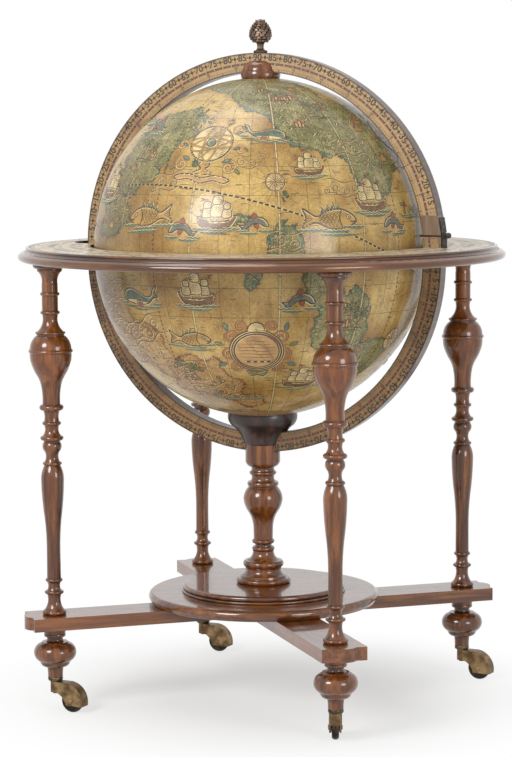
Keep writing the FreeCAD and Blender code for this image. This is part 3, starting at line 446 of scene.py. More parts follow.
@dataclass
class Studio:
    """The camera, the lamps, the white surround and the pale floor."""

    middle: float
    azimuth: float = 24.1
    distance: float = 4.40
    rise: float = 0.239
    tilt: float = 6.16
    swing: float = 0.15
    roll: float = 0.35
    focal_pixels: float = 2452.0
    image_height: float = 757.0
    sensor: float = 24.0
    sky: float = 0.40
    floor_reach: float = 14.0
    floor_colour: tuple[float, ...] = (0.86, 0.86, 0.855, 1.0)
    floor_glow: float = 0.48
    glow_span: Point = (0.15, 0.62)

    def build(self) -> None:
        """Makes everything round the object."""
        self.camera()
        self.surround()
        self.floor()
        self.lamp("left_umbrella", side=-1.83, toward=2.31, height=2.06, size=1.3, power=70.0)
        self.lamp("right_umbrella", side=1.94, toward=2.53, height=1.10, size=1.2, power=30.0)
        self.lamp("top_softbox", side=-0.6, toward=-0.2, height=3.4, size=1.6, power=26.0)

    def spot(self, side: float, toward: float, height: float) -> Vector:
        """Gives a place as seen from the camera: to its right, towards it, and above the floor.

        Args:
            side: How far to the camera's right.
            toward: How far towards the camera.
            height: How far above the floor.

        Returns:
            The place.
        """
        turn = math.radians(self.azimuth)
        right = Vector((math.cos(turn), math.sin(turn), 0.0))
        near = Vector((math.sin(turn), -math.cos(turn), 0.0))
        return right * side + near * toward + UP * height

    def camera(self) -> None:
        """Sets the camera where the photograph was taken from."""
        heading = math.radians(90.0 + self.azimuth + self.swing)
        tilt = math.radians(self.tilt)
        lean = math.radians(self.roll)
        ahead = Vector((math.cos(heading), math.sin(heading), 0.0)) * math.cos(tilt) - UP * math.sin(tilt)
        level_right = ahead.cross(UP).normalized()
        level_up = level_right.cross(ahead)
        right = level_right * math.cos(lean) - level_up * math.sin(lean)
        up = level_right * math.sin(lean) + level_up * math.cos(lean)
        data = bpy.data.cameras.new("portrait_camera")
        data.sensor_fit = "VERTICAL"
        data.sensor_height = self.sensor
        data.lens = self.sensor * self.focal_pixels / self.image_height
        camera = shown("portrait_camera", data)
        pose = Matrix((right, up, -ahead)).transposed().to_4x4()
        pose.translation = self.spot(0.0, self.distance, self.middle + self.rise)
        camera.matrix_world = pose
        bpy.context.scene.camera = camera

    def surround(self) -> None:
        """Lights the object evenly from all round, with a white background."""
        world = bpy.data.worlds.new("white_surround")
        bpy.context.scene.world = world
        sheet = ShaderSheet(world)
        strength = self.sky + (1.0 - self.sky) * sheet.seen()
        shader = sheet.node("ShaderNodeBackground", None, {"Color": WHITE, "Strength": strength})
        sheet.node("ShaderNodeOutputWorld", None, {"Surface": shader})

    def floor(self) -> None:
        """Lays a pale floor that keeps the object's shadow and runs out into white."""
        mesh = bmesh.new()
        bmesh.ops.create_circle(mesh, cap_ends=True, segments=96, radius=self.floor_reach)
        floor = shown("pale_floor", mesh_data("pale_floor", mesh))
        sheet = ShaderSheet(bpy.data.materials.new("pale_floor"))
        x, y, _ = sheet.parts(sheet.place())
        open_floor = sheet.away(x, y).ease(*self.glow_span)
        glow = (self.floor_glow + (1.0 - self.floor_glow) * open_floor) * sheet.seen()
        matte = sheet.node("ShaderNodeBsdfDiffuse", None, {"Color": self.floor_colour})
        white = sheet.node("ShaderNodeEmission", None, {"Color": WHITE, "Strength": 1.0})
        shader = sheet.node("ShaderNodeMixShader", None, {0: glow, 1: matte, 2: white})
        sheet.node("ShaderNodeOutputMaterial", None, {"Surface": shader})
        floor.data.materials.append(sheet.owner)

    def lamp(self, name: str, side: float, toward: float, height: float, size: float, power: float) -> None:
        """Hangs a round soft lamp that faces the globe.

        Args:
            name: The lamp's name.
            side: How far it stands to the camera's right.
            toward: How far it stands from the object towards the camera.
            height: Its height above the floor.
            size: Its diameter.
            power: Its power in watts.
        """
        data = bpy.data.lights.new(name, "AREA")
        data.shape = "DISK"
        data.size = size
        data.energy = power
        lamp = shown(name, data)
        lamp.location = self.spot(side, toward, height)
        aim = UP * self.middle - lamp.location
        lamp.rotation_euler = aim.to_track_quat("-Z", "Y").to_euler()


@dataclass
class Workpiece:
    """A mesh in the making, which ends as one piece that rides on a body."""

    name: str
    mesh: BMesh = field(default_factory=bmesh.new)
    touch: float = 1e-6

    def cut(self, place: Sequence[float], away: Sequence[float]) -> None:
        """Cuts off all that lies on the far side of a plane.

        Args:
            place: A point on the plane.
            away: The direction of the side that goes.
        """
        mesh = self.mesh
        bmesh.ops.bisect_plane(
            mesh, geom=mesh.verts[:] + mesh.edges[:] + mesh.faces[:], dist=self.touch, plane_co=place,
            plane_no=away, clear_outer=True)

    def face(self, way: Vector) -> None:
        """Turns all faces to the side that they are seen from.

        Args:
            way: The direction that they face.
        """
        self.mesh.normal_update()
        wrong = [face for face in self.mesh.faces if face.normal.dot(way) < 0.0]
        bmesh.ops.reverse_faces(self.mesh, faces=wrong)

    def deliver(
        self,
        body: str,
        slot: str,
        finishes: Sequence[Material],
        replaced: Sequence[str] = (),
        crease: float = 35.0,
    ) -> bpy.types.Object:
        """Turns the mesh into a finished piece.

        Args:
            body: The body that it rides on.
            slot: The record's material slot; not used.
            finishes: Its materials, in the order of the faces' numbers.
            replaced: The CAD nodes that it stands for.
            crease: The angle between faces, in degrees, from which an edge stays sharp.

        Returns:
            The object.
        """
        limit = math.radians(crease)
        for face in self.mesh.faces:
            face.smooth = True
        for edge in self.mesh.edges:
            edge.smooth = edge.calc_face_angle(0.0) < limit
        data = mesh_data(self.name, self.mesh)
        for finish in finishes:
            data.materials.append(finish)
        piece = shown(self.name, data)
        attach(piece, body)
        if replaced:
            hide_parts(*replaced)
        LOG.info("%s rides on %s: %d faces", self.name, body, len(data.polygons))
        return piece


def outward(lon: float, lat: float) -> Vector:
    """The direction of a place from the globe's centre, by its degrees."""
    turn, rise = math.radians(lon), math.radians(lat)
    return Vector((math.cos(rise) * math.cos(turn), math.cos(rise) * math.sin(turn), math.sin(rise)))


def compass(out: Vector) -> tuple[Vector, Vector]:
    """The directions east and north at a place on the globe."""
    east = UP.cross(out).normalized()
    return east, out.cross(east)


@dataclass(frozen=True)
class Land:
    """A round patch of land: where its middle lies and how far it reaches, on a globe of radius 1."""

    lon: float
    lat: float
    reach: float

    def middle(self) -> Vector:
        """The direction of its middle from the globe's centre."""
        return outward(self.lon, self.lat)


GREEN_LANDS = (
    Land(-34, 50, 0.30), Land(-8, 42, 0.26), Land(-56, 66, 0.26), Land(-22, 27, 0.15), Land(-100, 76, 0.20),
    Land(-118, 33, 0.20), Land(-129, 14, 0.18), Land(-111, 48, 0.14),
    Land(-80, 15, 0.045), Land(-71, 9, 0.035), Land(-91, 30, 0.045), Land(-60, 19, 0.03),
    Land(70, 46, 0.32), Land(102, 30, 0.28), Land(132, 52, 0.24), Land(152, 13, 0.15), Land(44, 11, 0.14),
    Land(178, 44, 0.18), Land(-36, -22, 0.20), Land(-22, -38, 0.18), Land(-46, -9, 0.11),
    Land(-66, 88, 0.26), Land(-57, 3, 0.12), Land(-68, -4, 0.08),
)
OCHRE_LANDS = (
    Land(-97, -46, 0.21), Land(-116, -33, 0.15), Land(-76, -58, 0.12), Land(-66, -88, 0.34),
    Land(62, -20, 0.25), Land(76, -38, 0.18), Land(122, -24, 0.21), Land(162, -40, 0.15), Land(18, -52, 0.11),
    Land(-150, -18, 0.06), Land(-144, -26, 0.04),
)


@dataclass(frozen=True)
class ChartPrint(Finish):
    """The printed and hand-coloured skin of the globe under aged varnish."""

    centre: float
    sea: Colour = tone(148, 110, 50)
    pale_sea: Colour = tone(200, 168, 98)
    green: Colour = tone(146, 140, 88)
    deep_green: Colour = tone(96, 98, 54)
    teal: Colour = tone(52, 92, 76)
    ochre: Colour = tone(172, 132, 74)
    rust: Colour = tone(128, 60, 26)
    cream: Colour = tone(222, 200, 146)
    ink: Colour = tone(36, 25, 16)
    black: Colour = tone(24, 18, 14)
    stain: Colour = tone(70, 42, 18)
    ecliptic_tilt: float = 23.5
    ecliptic_bearing: float = 70.5
    wind_step: float = 22.5
    colure: float = -14.0
    # Painted shade: the chart darkens towards this place, near its left edge as seen from the front.
    grime: Land = Land(-140.0, 2.0, 0.34)
    rule_step: float = 10.0
    gore_step: float = 30.0
    coast_blend: float = 0.06
    coast_warp: float = 0.46

    def _land(self, sheet: ShaderSheet, warped: Shade, lands: Sequence[Land]) -> Shade:
        """How far inside the nearest land a point is, below zero at sea.

        Args:
            sheet: The finish's sheet.
            warped: The point, moved so that coasts wander.
            lands: The lands.

        Returns:
            The depth.
        """
        depth = None
        for land in lands:
            patch = land.reach - sheet.vector("DISTANCE", warped, tuple(land.middle()), output="Value")
            depth = patch if depth is None else sheet.math("SMOOTH_MAX", depth, patch, self.coast_blend)
        return depth

    def _grid(self, angle: Shade, step: float, half_width: float, squeeze: Shade | float) -> Shade:
        """Lines at every step of an angle, whose width in degrees is kept by the squeeze."""
        away = abs((angle / step + 0.5) % 1.0 - 0.5) * step * squeeze
        return 1.0 - away.ease(half_width, half_width * 1.8)

    def _winds(self, sheet: ShaderSheet, unit: Shade, rose: "Print") -> Shade:
        """Fine lines that run out from a compass rose to all sides.

        Args:
            sheet: The finish's sheet.
            unit: The direction of the point.
            rose: The rose's place.

        Returns:
            One on a line, else zero.
        """
        out = outward(rose.lon, rose.lat)
        right, up = (sheet.toward(unit, way) for way in compass(out))
        away = sheet.away(right, up)
        step = math.radians(self.wind_step)
        aside = abs((sheet.math("ARCTAN2", up, right) / step + 0.5) % 1.0 - 0.5) * step * away
        line = 1.0 - aside.ease(0.0007, 0.0016)
        return line * (1.0 - away.ease(0.30, 0.50)) * sheet.toward(unit, out).ease(0.0, 0.1)

    def _ecliptic(self, sheet: ShaderSheet, unit: Shade) -> tuple[Shade, Shade]:
        """Gives the distance from the ecliptic's plane, and the dashes along its line.

        Args:
            sheet: The finish's sheet.
            unit: The direction of the point.

        Returns:
            The distance and the dashes.
        """
        pole = UP.copy()
        pole.rotate(Matrix.Rotation(math.radians(self.ecliptic_tilt), 3, "Y"))
        pole.rotate(Matrix.Rotation(math.radians(self.ecliptic_bearing), 3, "Z"))
        level_axis = pole.cross(UP).normalized()
        along = sheet.degrees(sheet.toward(unit, pole.cross(level_axis)), sheet.toward(unit, level_axis))
        return abs(sheet.toward(unit, pole)), (along / 2.0 % 1.0).near(0.5, 0.31, 0.03)

    def make(self) -> Material:
        """Builds the material: lands and sea, then printed lines, then stains, wear and painted shade."""
        sheet = self.sheet()
        unit = sheet.vector("NORMALIZE", sheet.vector("SUBTRACT", sheet.place(), (0.0, 0.0, self.centre)))
        x, y, z = sheet.parts(unit)
        lat = sheet.math("ARCSINE", z) * DEGREES
        lon = sheet.degrees(y, x)
        level = sheet.math("COSINE", lat / DEGREES)

        bend = sheet.vector("SUBTRACT", sheet.noise(unit, 3.2, 7.0, 0.62, "Color"), (0.5, 0.5, 0.5))
        warped = sheet.vector("ADD", unit, sheet.scaled(bend, self.coast_warp))
        green_depth = self._land(sheet, warped, GREEN_LANDS)
        ochre_depth = self._land(sheet, warped, OCHRE_LANDS)
        depth = sheet.math("MAXIMUM", green_depth, ochre_depth)
        on_land = depth.ease(0.0, 0.012)
        at_sea = 1.0 - depth.ease(-0.004, 0.0)

        cloud = sheet.noise(unit, 2.4, 5.0, 0.6)
        mottle = sheet.noise(unit, 11.0, 6.0, 0.66)
        fibre = sheet.noise(unit, 70.0, 3.0, 0.6)
        speck = sheet.noise(unit, 210.0, 2.0, 0.5)
        faded = sheet.noise(unit, 5.0, 5.0, 0.65)
        streak = sheet.noise(sheet.vector("MULTIPLY", unit, (1.0, 1.0, 0.22)), 10.0, 5.0, 0.65)
        contour = sheet.noise(unit, 10.0, 3.0, 0.55) * 13.0 % 1.0

        green = sheet.coats(
            self.deep_green, (mottle.ease(0.34, 0.70), self.green),
            ((1.0 - green_depth.ease(0.008, 0.030)) * 0.80, self.teal))
        ochre = sheet.mix((1.0 - ochre_depth.ease(0.006, 0.026)) * 0.85, self.ochre, self.rust)
        ripple = abs((lat * 1.9 + mottle * 0.8) % 1.0 - 0.5)
        shallows = depth.ease(-0.045, -0.004) * at_sea * (1.0 - ripple.ease(0.05, 0.2))
        coast = depth.near(0.0, 0.0020, 0.0022)
        colour = sheet.coats(
            self.sea,
            (cloud.ease(0.34, 0.64), self.pale_sea),
            (green_depth.ease(-0.002, 0.004), green),
            (ochre_depth.ease(-0.002, 0.004), ochre),
            (faded.ease(0.52, 0.74) * 0.42, self.cream),
            # Dark contour lines are engraved shading; the pale ones beside them are painted highlights that
            # make the print look embossed.
            (contour.near(0.38, 0.08, 0.08) * (0.20 + 0.30 * on_land), self.stain),
            (contour.near(0.60, 0.07, 0.08) * (0.10 + 0.26 * on_land), self.cream),
            (shallows * 0.55, self.ink),
            (coast * 0.85, self.ink))

        parallels = self._grid(lat, self.rule_step, 0.055, 1.0)
        rules = sheet.math("MAXIMUM", parallels, self._grid(lon, self.rule_step, 0.055, level))
        roses = [row for row in PRINTS if row.motif is Motif.ROSE]
        seams = self._grid(lon, self.gore_step, 0.15, level) * fibre.ease(0.30, 0.55)
        dots = self._grid(lon - self.colure, 90.0, 0.17, level) * (lat / 1.5 % 1.0).near(0.5, 0.27, 0.04)
        height, dash = self._ecliptic(sheet, unit)
        colour = sheet.coats(
            colour,
            (rules * 0.75, self.ink),
            *((self._winds(sheet, unit, rose) * at_sea * 0.5, self.ink) for rose in roses),
            (self._grid(lon, self.gore_step, 0.34, level) * 0.50, self.ink),
            (seams * 0.85, self.cream),
            (dots * 0.85, self.ink),
            (height.near(0.0, 0.0060, 0.001) * 0.4, self.cream),
            (height.near(0.0, 0.0046, 0.001) * dash, self.black),
            (abs(lat).near(0.9, 0.07, 0.05) * 0.8, self.ink))

        # Stains and streaks, then painted shade towards the left edge, mottled, then specks and fibres.
        aside = sheet.toward(unit, self.grime.middle())
        colour = sheet.coats(
            colour,
            (mottle.ease(0.56, 0.80) * cloud.ease(0.40, 0.62) * 0.80, self.stain),
            (streak.ease(0.52, 0.74) * 0.45, self.stain),
            (aside.ease(1.0 - self.grime.reach, 1.0) * (0.25 + 0.35 * mottle), self.stain),
            (speck.ease(0.62, 0.74) * 0.40, self.ink),
            (fibre.ease(0.42, 0.78) * 0.34, self.stain))

        rough = 0.36 + 0.16 * mottle + 0.08 * fibre
        normal = sheet.bump(fibre * 0.6 + mottle * 1.5 - rules * 0.3 - coast * 0.4, 0.18, 0.0009)
        return sheet.surface(
            Base_Color=colour, Roughness=rough, Normal=normal, Coat_Weight=0.55, Coat_Roughness=0.16,
            Specular_Ior_Level=0.30)


@dataclass(frozen=True)
class ShellLining(Finish):
    """Plain veneer inside the globe, laid in gores."""

    veneer: Colour = tone(132, 84, 50)
    dark: Colour = tone(86, 50, 28)

    def make(self) -> Material:
        """Builds the material.

        Returns:
            The material.
        """
        sheet = self.sheet()
        x, y, z = sheet.parts(sheet.place())
        lon = sheet.degrees(y, x)
        gore = (lon / 30.0 % 1.0).near(0.0, 0.004, 0.004)
        fibres = sheet.joined(lon * 0.02, z * 0.08, x * 0.05)
        streak = sheet.noise(fibres, 130.0, 4.0, 0.6)
        colour = sheet.coats(self.dark, (streak.ease(0.3, 0.75), self.veneer), (gore * 0.6, self.dark))
        return sheet.surface(Base_Color=colour, Roughness=0.38 + 0.2 * streak, Coat_Weight=0.3)


@dataclass
class Globe:
    """The two printed half shells."""

    radius: float
    wall: float = 0.007
    segments: int = 192

    def build(self, chart: Material, lining: Material) -> None:
        """Makes both halves in the place of their solids.

        Args:
            chart: The finish of the outside.
            lining: The finish of the inside.
        """
        for node, body, upward in (("lower_shell", "stand", False), ("upper_shell", "lid", True)):
            low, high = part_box(node)
            self.half(node, body, low.z if upward else high.z, upward, (chart, lining))

    def half(
        self, node: str, body: str, level: float, upward: bool, finishes: Sequence[Material]
    ) -> None:
        """Makes one half shell: an outer skin, an inner one, and a rim that joins them.

        Args:
            node: The solid that it stands for.
            body: The body that it rides on.
            level: The height of its open edge.
            upward: True for the half above the horizon.
            finishes: The materials of its outside and its inside.
        """
        work = Workpiece(f"{node}_print")
        mesh = work.mesh
        for radius in (self.radius, self.radius - self.wall):
            bmesh.ops.create_uvsphere(
                mesh, u_segments=self.segments, v_segments=self.segments // 2, radius=radius)
        work.cut(Vector(), -UP if upward else UP)
        divide = self.radius - self.wall / 2.0
        inside = [face for face in mesh.faces if face.calc_center_median().length < divide]
        for face in inside:
            face.material_index = 1
        bmesh.ops.reverse_faces(mesh, faces=inside)
        rim = [edge for edge in mesh.edges if edge.is_boundary]
        bridge = bmesh.ops.bridge_loops(mesh, edges=rim)
        for face in bridge["faces"]:
            face.material_index = 1
        bmesh.ops.recalc_face_normals(mesh, faces=bridge["faces"])
        bmesh.ops.translate(mesh, verts=mesh.verts, vec=UP * level)
        work.deliver(body, "printed_shell", finishes, [node])


class Ink(Enum):
    """The engraver's inks and the colourist's washes."""

    LINE = tone(34, 23, 15)
    FINE = tone(70, 48, 29)
    CREAM = tone(212, 188, 134)
    FLESH = tone(190, 148, 94)
    ROSE = tone(144, 66, 43)
    TEAL = tone(70, 108, 94)
    GREEN = tone(104, 118, 58)
    BLUE = tone(86, 106, 100)
    GOLD = tone(180, 141, 70)
    BROWN = tone(112, 72, 38)


def flow(points: Sequence[Point], closed: bool = False, steps: int = 5) -> list[Point]:
    """Draws a smooth curve through points.

    Args:
        points: The points that it passes through.
        closed: True where it returns to its start.
        steps: How many pieces there are from point to point.

    Returns:
        Points along the curve.
    """
    flat = [Vector((x, y, 0.0)) for x, y in points]
    count = len(flat)
    spans = count if closed else count - 1
    curve = []
    for index in range(spans):
        here, there = flat[index], flat[(index + 1) % count]
        before = flat[index - 1] if closed or index else here
        after = flat[(index + 2) % count] if closed or index + 2 < count else there
        leave = here + (there - before) / 6.0
        arrive = there - (after - here) / 6.0
        span = interpolate_bezier(here, leave, arrive, there, steps + 1)
        curve.extend((p.x, p.y) for p in span[:-1])
    if not closed:
        curve.append((flat[-1].x, flat[-1].y))
    return curve


SCROLL_EYE = 0.08
SCROLL_STEPS = 12


def spiral(x: float, y: float, reach: float, turns: float, start: float, hand: float = 1.0) -> list[Point]:
    """Points of a scroll that winds in from its reach to a point.

    Args:
        x: Its middle, sideways.
        y: Its middle, upwards.
        reach: How far out it starts.
        turns: How many turns it makes.
        start: Where it starts, in degrees.
        hand: 1 winds counterclockwise and -1 clockwise.

    Returns:
        Points along the scroll.
    """
    count = max(SCROLL_STEPS // 2, int(turns * SCROLL_STEPS))
    points = []
    for index in range(count + 1):
        share = index / count
        angle = math.radians(start + hand * 360.0 * turns * share)
        out = reach * (1.0 - (1.0 - SCROLL_EYE) * share)
        points.append((x + out * math.cos(angle), y + out * math.sin(angle)))
    return points


class Stamp:
    """A small drawing on the flat, in millimetres, made of ink lines and colour washes."""

    LIFT = 0.006
    GRID = 11.0
    BOLD = 0.7
    SHADED = 8.0
    STROKE_GAP = 2.3
    WEIGHT = 1.9
    # How far the pale copy of an outline is shifted: a painted highlight that makes the print look embossed.
    RELIEF = 0.9
    TIP = 0.55
    SHADE_WIDTH = 0.8
    SHADE_SLANT = 35.0
    SHADE_START = 0.45

    def __init__(self) -> None:
        """Starts a blank drawing."""
        self.mesh = bmesh.new()
        self.ink = self.mesh.verts.layers.float_color.new("ink")
        self.level = 0.08

    def line(
        self, points: Sequence[Point], width: float = 0.7, ink: Ink = Ink.LINE, closed: bool = False,
        end_width: float | None = None,
    ) -> None:
        """Draws a line. It tapers a little to its open ends, or evenly to an end width.

        Args:
            points: The points that it joins.
            width: Its width.
            ink: Its colour.
            closed: True where it returns to its start.
            end_width: Its width at the end, if it narrows.
        """
        self.level += self.LIFT
        count = len(points)
        verts, offsets = [], []
        for index, (x, y) in enumerate(points):
            back = points[index - 1] if closed or index else points[0]
            ahead = points[(index + 1) % count] if closed or index + 1 < count else points[-1]
            along = Vector((ahead[0] - back[0], ahead[1] - back[1], 0.0)).normalized()
            share = index / max(1, count - 1)
            taper = 1.0 if closed else self.TIP + (1.0 - self.TIP) * math.sin(math.pi * share)
            if end_width is not None:
                taper = 1.0 + (end_width / width - 1.0) * share
            across = Vector((-along.y, along.x, 0.0)) * width * taper
            vert = self.mesh.verts.new(Vector((x, y, self.level)) - across / 2.0)
            vert[self.ink] = (*ink.value, 1.0)
            verts.append(vert)
            offsets.append(across)
        pairs = list(zip(verts, verts[1:])) + ([(verts[-1], verts[0])] if closed else [])
        edges = [self.mesh.edges.new(pair) for pair in pairs]
        drawn = set(verts)
        bmesh.ops.extrude_edge_only(self.mesh, edges=edges)
        for vert, across in zip(verts, offsets):
            twin = next(e.other_vert(vert) for e in vert.link_edges if e.other_vert(vert) not in drawn)
            twin.co += across

    def wash(self, points: Sequence[Point], ink: Ink, outline: float = 0.7) -> None:
        """Fills an outline with colour and inks its edge.

        Args:
            points: The outline.
            ink: The colour.
            outline: The width of the inked edge, or 0.
        """
        self.level += self.LIFT
        verts = [self.mesh.verts.new((x, y, self.level)) for x, y in points]
        for vert in verts:
            vert[self.ink] = (*ink.value, 1.0)
        edges = [self.mesh.edges.new(pair) for pair in zip(verts, verts[1:] + verts[:1])]
        made = bmesh.ops.contextual_create(self.mesh, geom=edges)
        faces = bmesh.ops.triangulate(self.mesh, faces=made["faces"])["faces"]
        span = max(max(p[axis] for p in points) - min(p[axis] for p in points) for axis in (0, 1))
        if span > self.GRID:
            sides = dict.fromkeys(edge for face in faces for edge in face.edges)
            long_sides = [edge for edge in sides if edge.calc_length() > self.GRID / 2.0]
            bmesh.ops.subdivide_edges(
                self.mesh, edges=long_sides, cuts=max(1, int(span / self.GRID)), use_grid_fill=True)
        if outline >= self.BOLD and span > self.SHADED:
            self.hatch(
                points, self.STROKE_GAP, self.SHADE_WIDTH, slant=self.SHADE_SLANT, start=self.SHADE_START)
        # A pale copy of the outline, shifted down and right, is a painted highlight of raised print.
        if outline >= self.BOLD:
            painted_highlight = [(x + self.RELIEF, y - self.RELIEF) for x, y in points]
            self.line(painted_highlight, outline * self.WEIGHT, Ink.CREAM, closed=True)
        if outline:
            self.line(points, outline * self.WEIGHT, closed=True)

    def hatch(
        self, points: Sequence[Point], gap: float, width: float = 0.4, ink: Ink = Ink.FINE,
        slant: float = 0.0, start: float = 0.0,
    ) -> None:
        """Shades an outline with strokes.

        Args:
            points: The outline.
            gap: How far the strokes are apart.
            width: How wide they are.
            ink: Their colour.
            slant: How far they lean from level, in degrees.
            start: Where they begin, as a share of the way across.
        """
        lean = Matrix.Rotation(math.radians(slant), 2)
        turned = [lean.transposed() @ Vector(point) for point in points]
        high = max(point.y for point in turned)
        level = min(point.y for point in turned) + gap / 2.0
        while level < high:
            cuts = []
            for here, there in zip(turned, turned[1:] + turned[:1]):
                if (here.y <= level) != (there.y <= level):
                    cuts.append(here.x + (there.x - here.x) * (level - here.y) / (there.y - here.y))
            cuts.sort()
            for left, right in zip(cuts[0::2], cuts[1::2]):
                begin = left + (right - left) * start
                if right - begin > gap:
                    middle = Vector(((begin + right) / 2.0, level + gap * 0.15))
                    stroke = (Vector((begin, level)), middle, Vector((right, level)))
                    self.line([tuple(lean @ point) for point in stroke], width, ink)
            level += gap

    def curve(self, points: Sequence[Point], width: float, ink: Ink = Ink.LINE, steps: int = 5) -> None:
        """Draws a smooth line through points."""
        self.line(flow(points, steps=steps), width, ink)

    def blob(self, points: Sequence[Point], ink: Ink, outline: float = 0.7, steps: int = 3) -> list[Point]:
        """Fills a smooth shape through points, and gives its outline."""
        edge = flow(points, closed=True, steps=steps)
        self.wash(edge, ink, outline)
        return edge

    def leaf(self, x: float, y: float, angle: float, length: float, width: float, ink: Ink) -> None:
        """Draws a leaf with a rib, from its stalk at x and y.

        Args:
            x: The stalk's place, sideways.
            y: The stalk's place, upwards.
            angle: Which way it points, in degrees.
            length: Its length.
            width: Its width.
            ink: Its colour.
        """
        turn = math.radians(angle)
        across = Vector((-math.sin(turn), math.cos(turn)))
        along = Vector((math.cos(turn), math.sin(turn)))
        root = Vector((x, y))
        shape = [(0.0, 0.0), (0.3, 0.8), (0.6, 0.9), (1.0, 0.1), (0.65, -0.7), (0.3, -0.8)]
        outline = [tuple(root + along * length * a + across * width * 0.5 * b) for a, b in shape]
        self.blob(outline, ink, 0.5, steps=2)
        self.line([tuple(root), tuple(root + along * length * 0.85)], 0.4)

    def done(self, name: str) -> bpy.types.Mesh:
        """Hands the drawing over as a mesh."""
        return mesh_data(name, self.mesh)


class Motif(Enum):
    """What the engraver put on the globe."""

    SHIP = "ship"
    WHALE = "whale"
    SERPENT = "serpent"
    ROSE = "rose"
    CARTOUCHE = "cartouche"
    ARMILLARY = "armillary"
    DOLPHIN = "dolphin"
    FISH = "fish"
    FLOURISH = "flourish"
    PALM = "palm"
    HILL = "hill"
    TOWN = "town"
    TUFT = "tuft"
    WAVE = "wave"


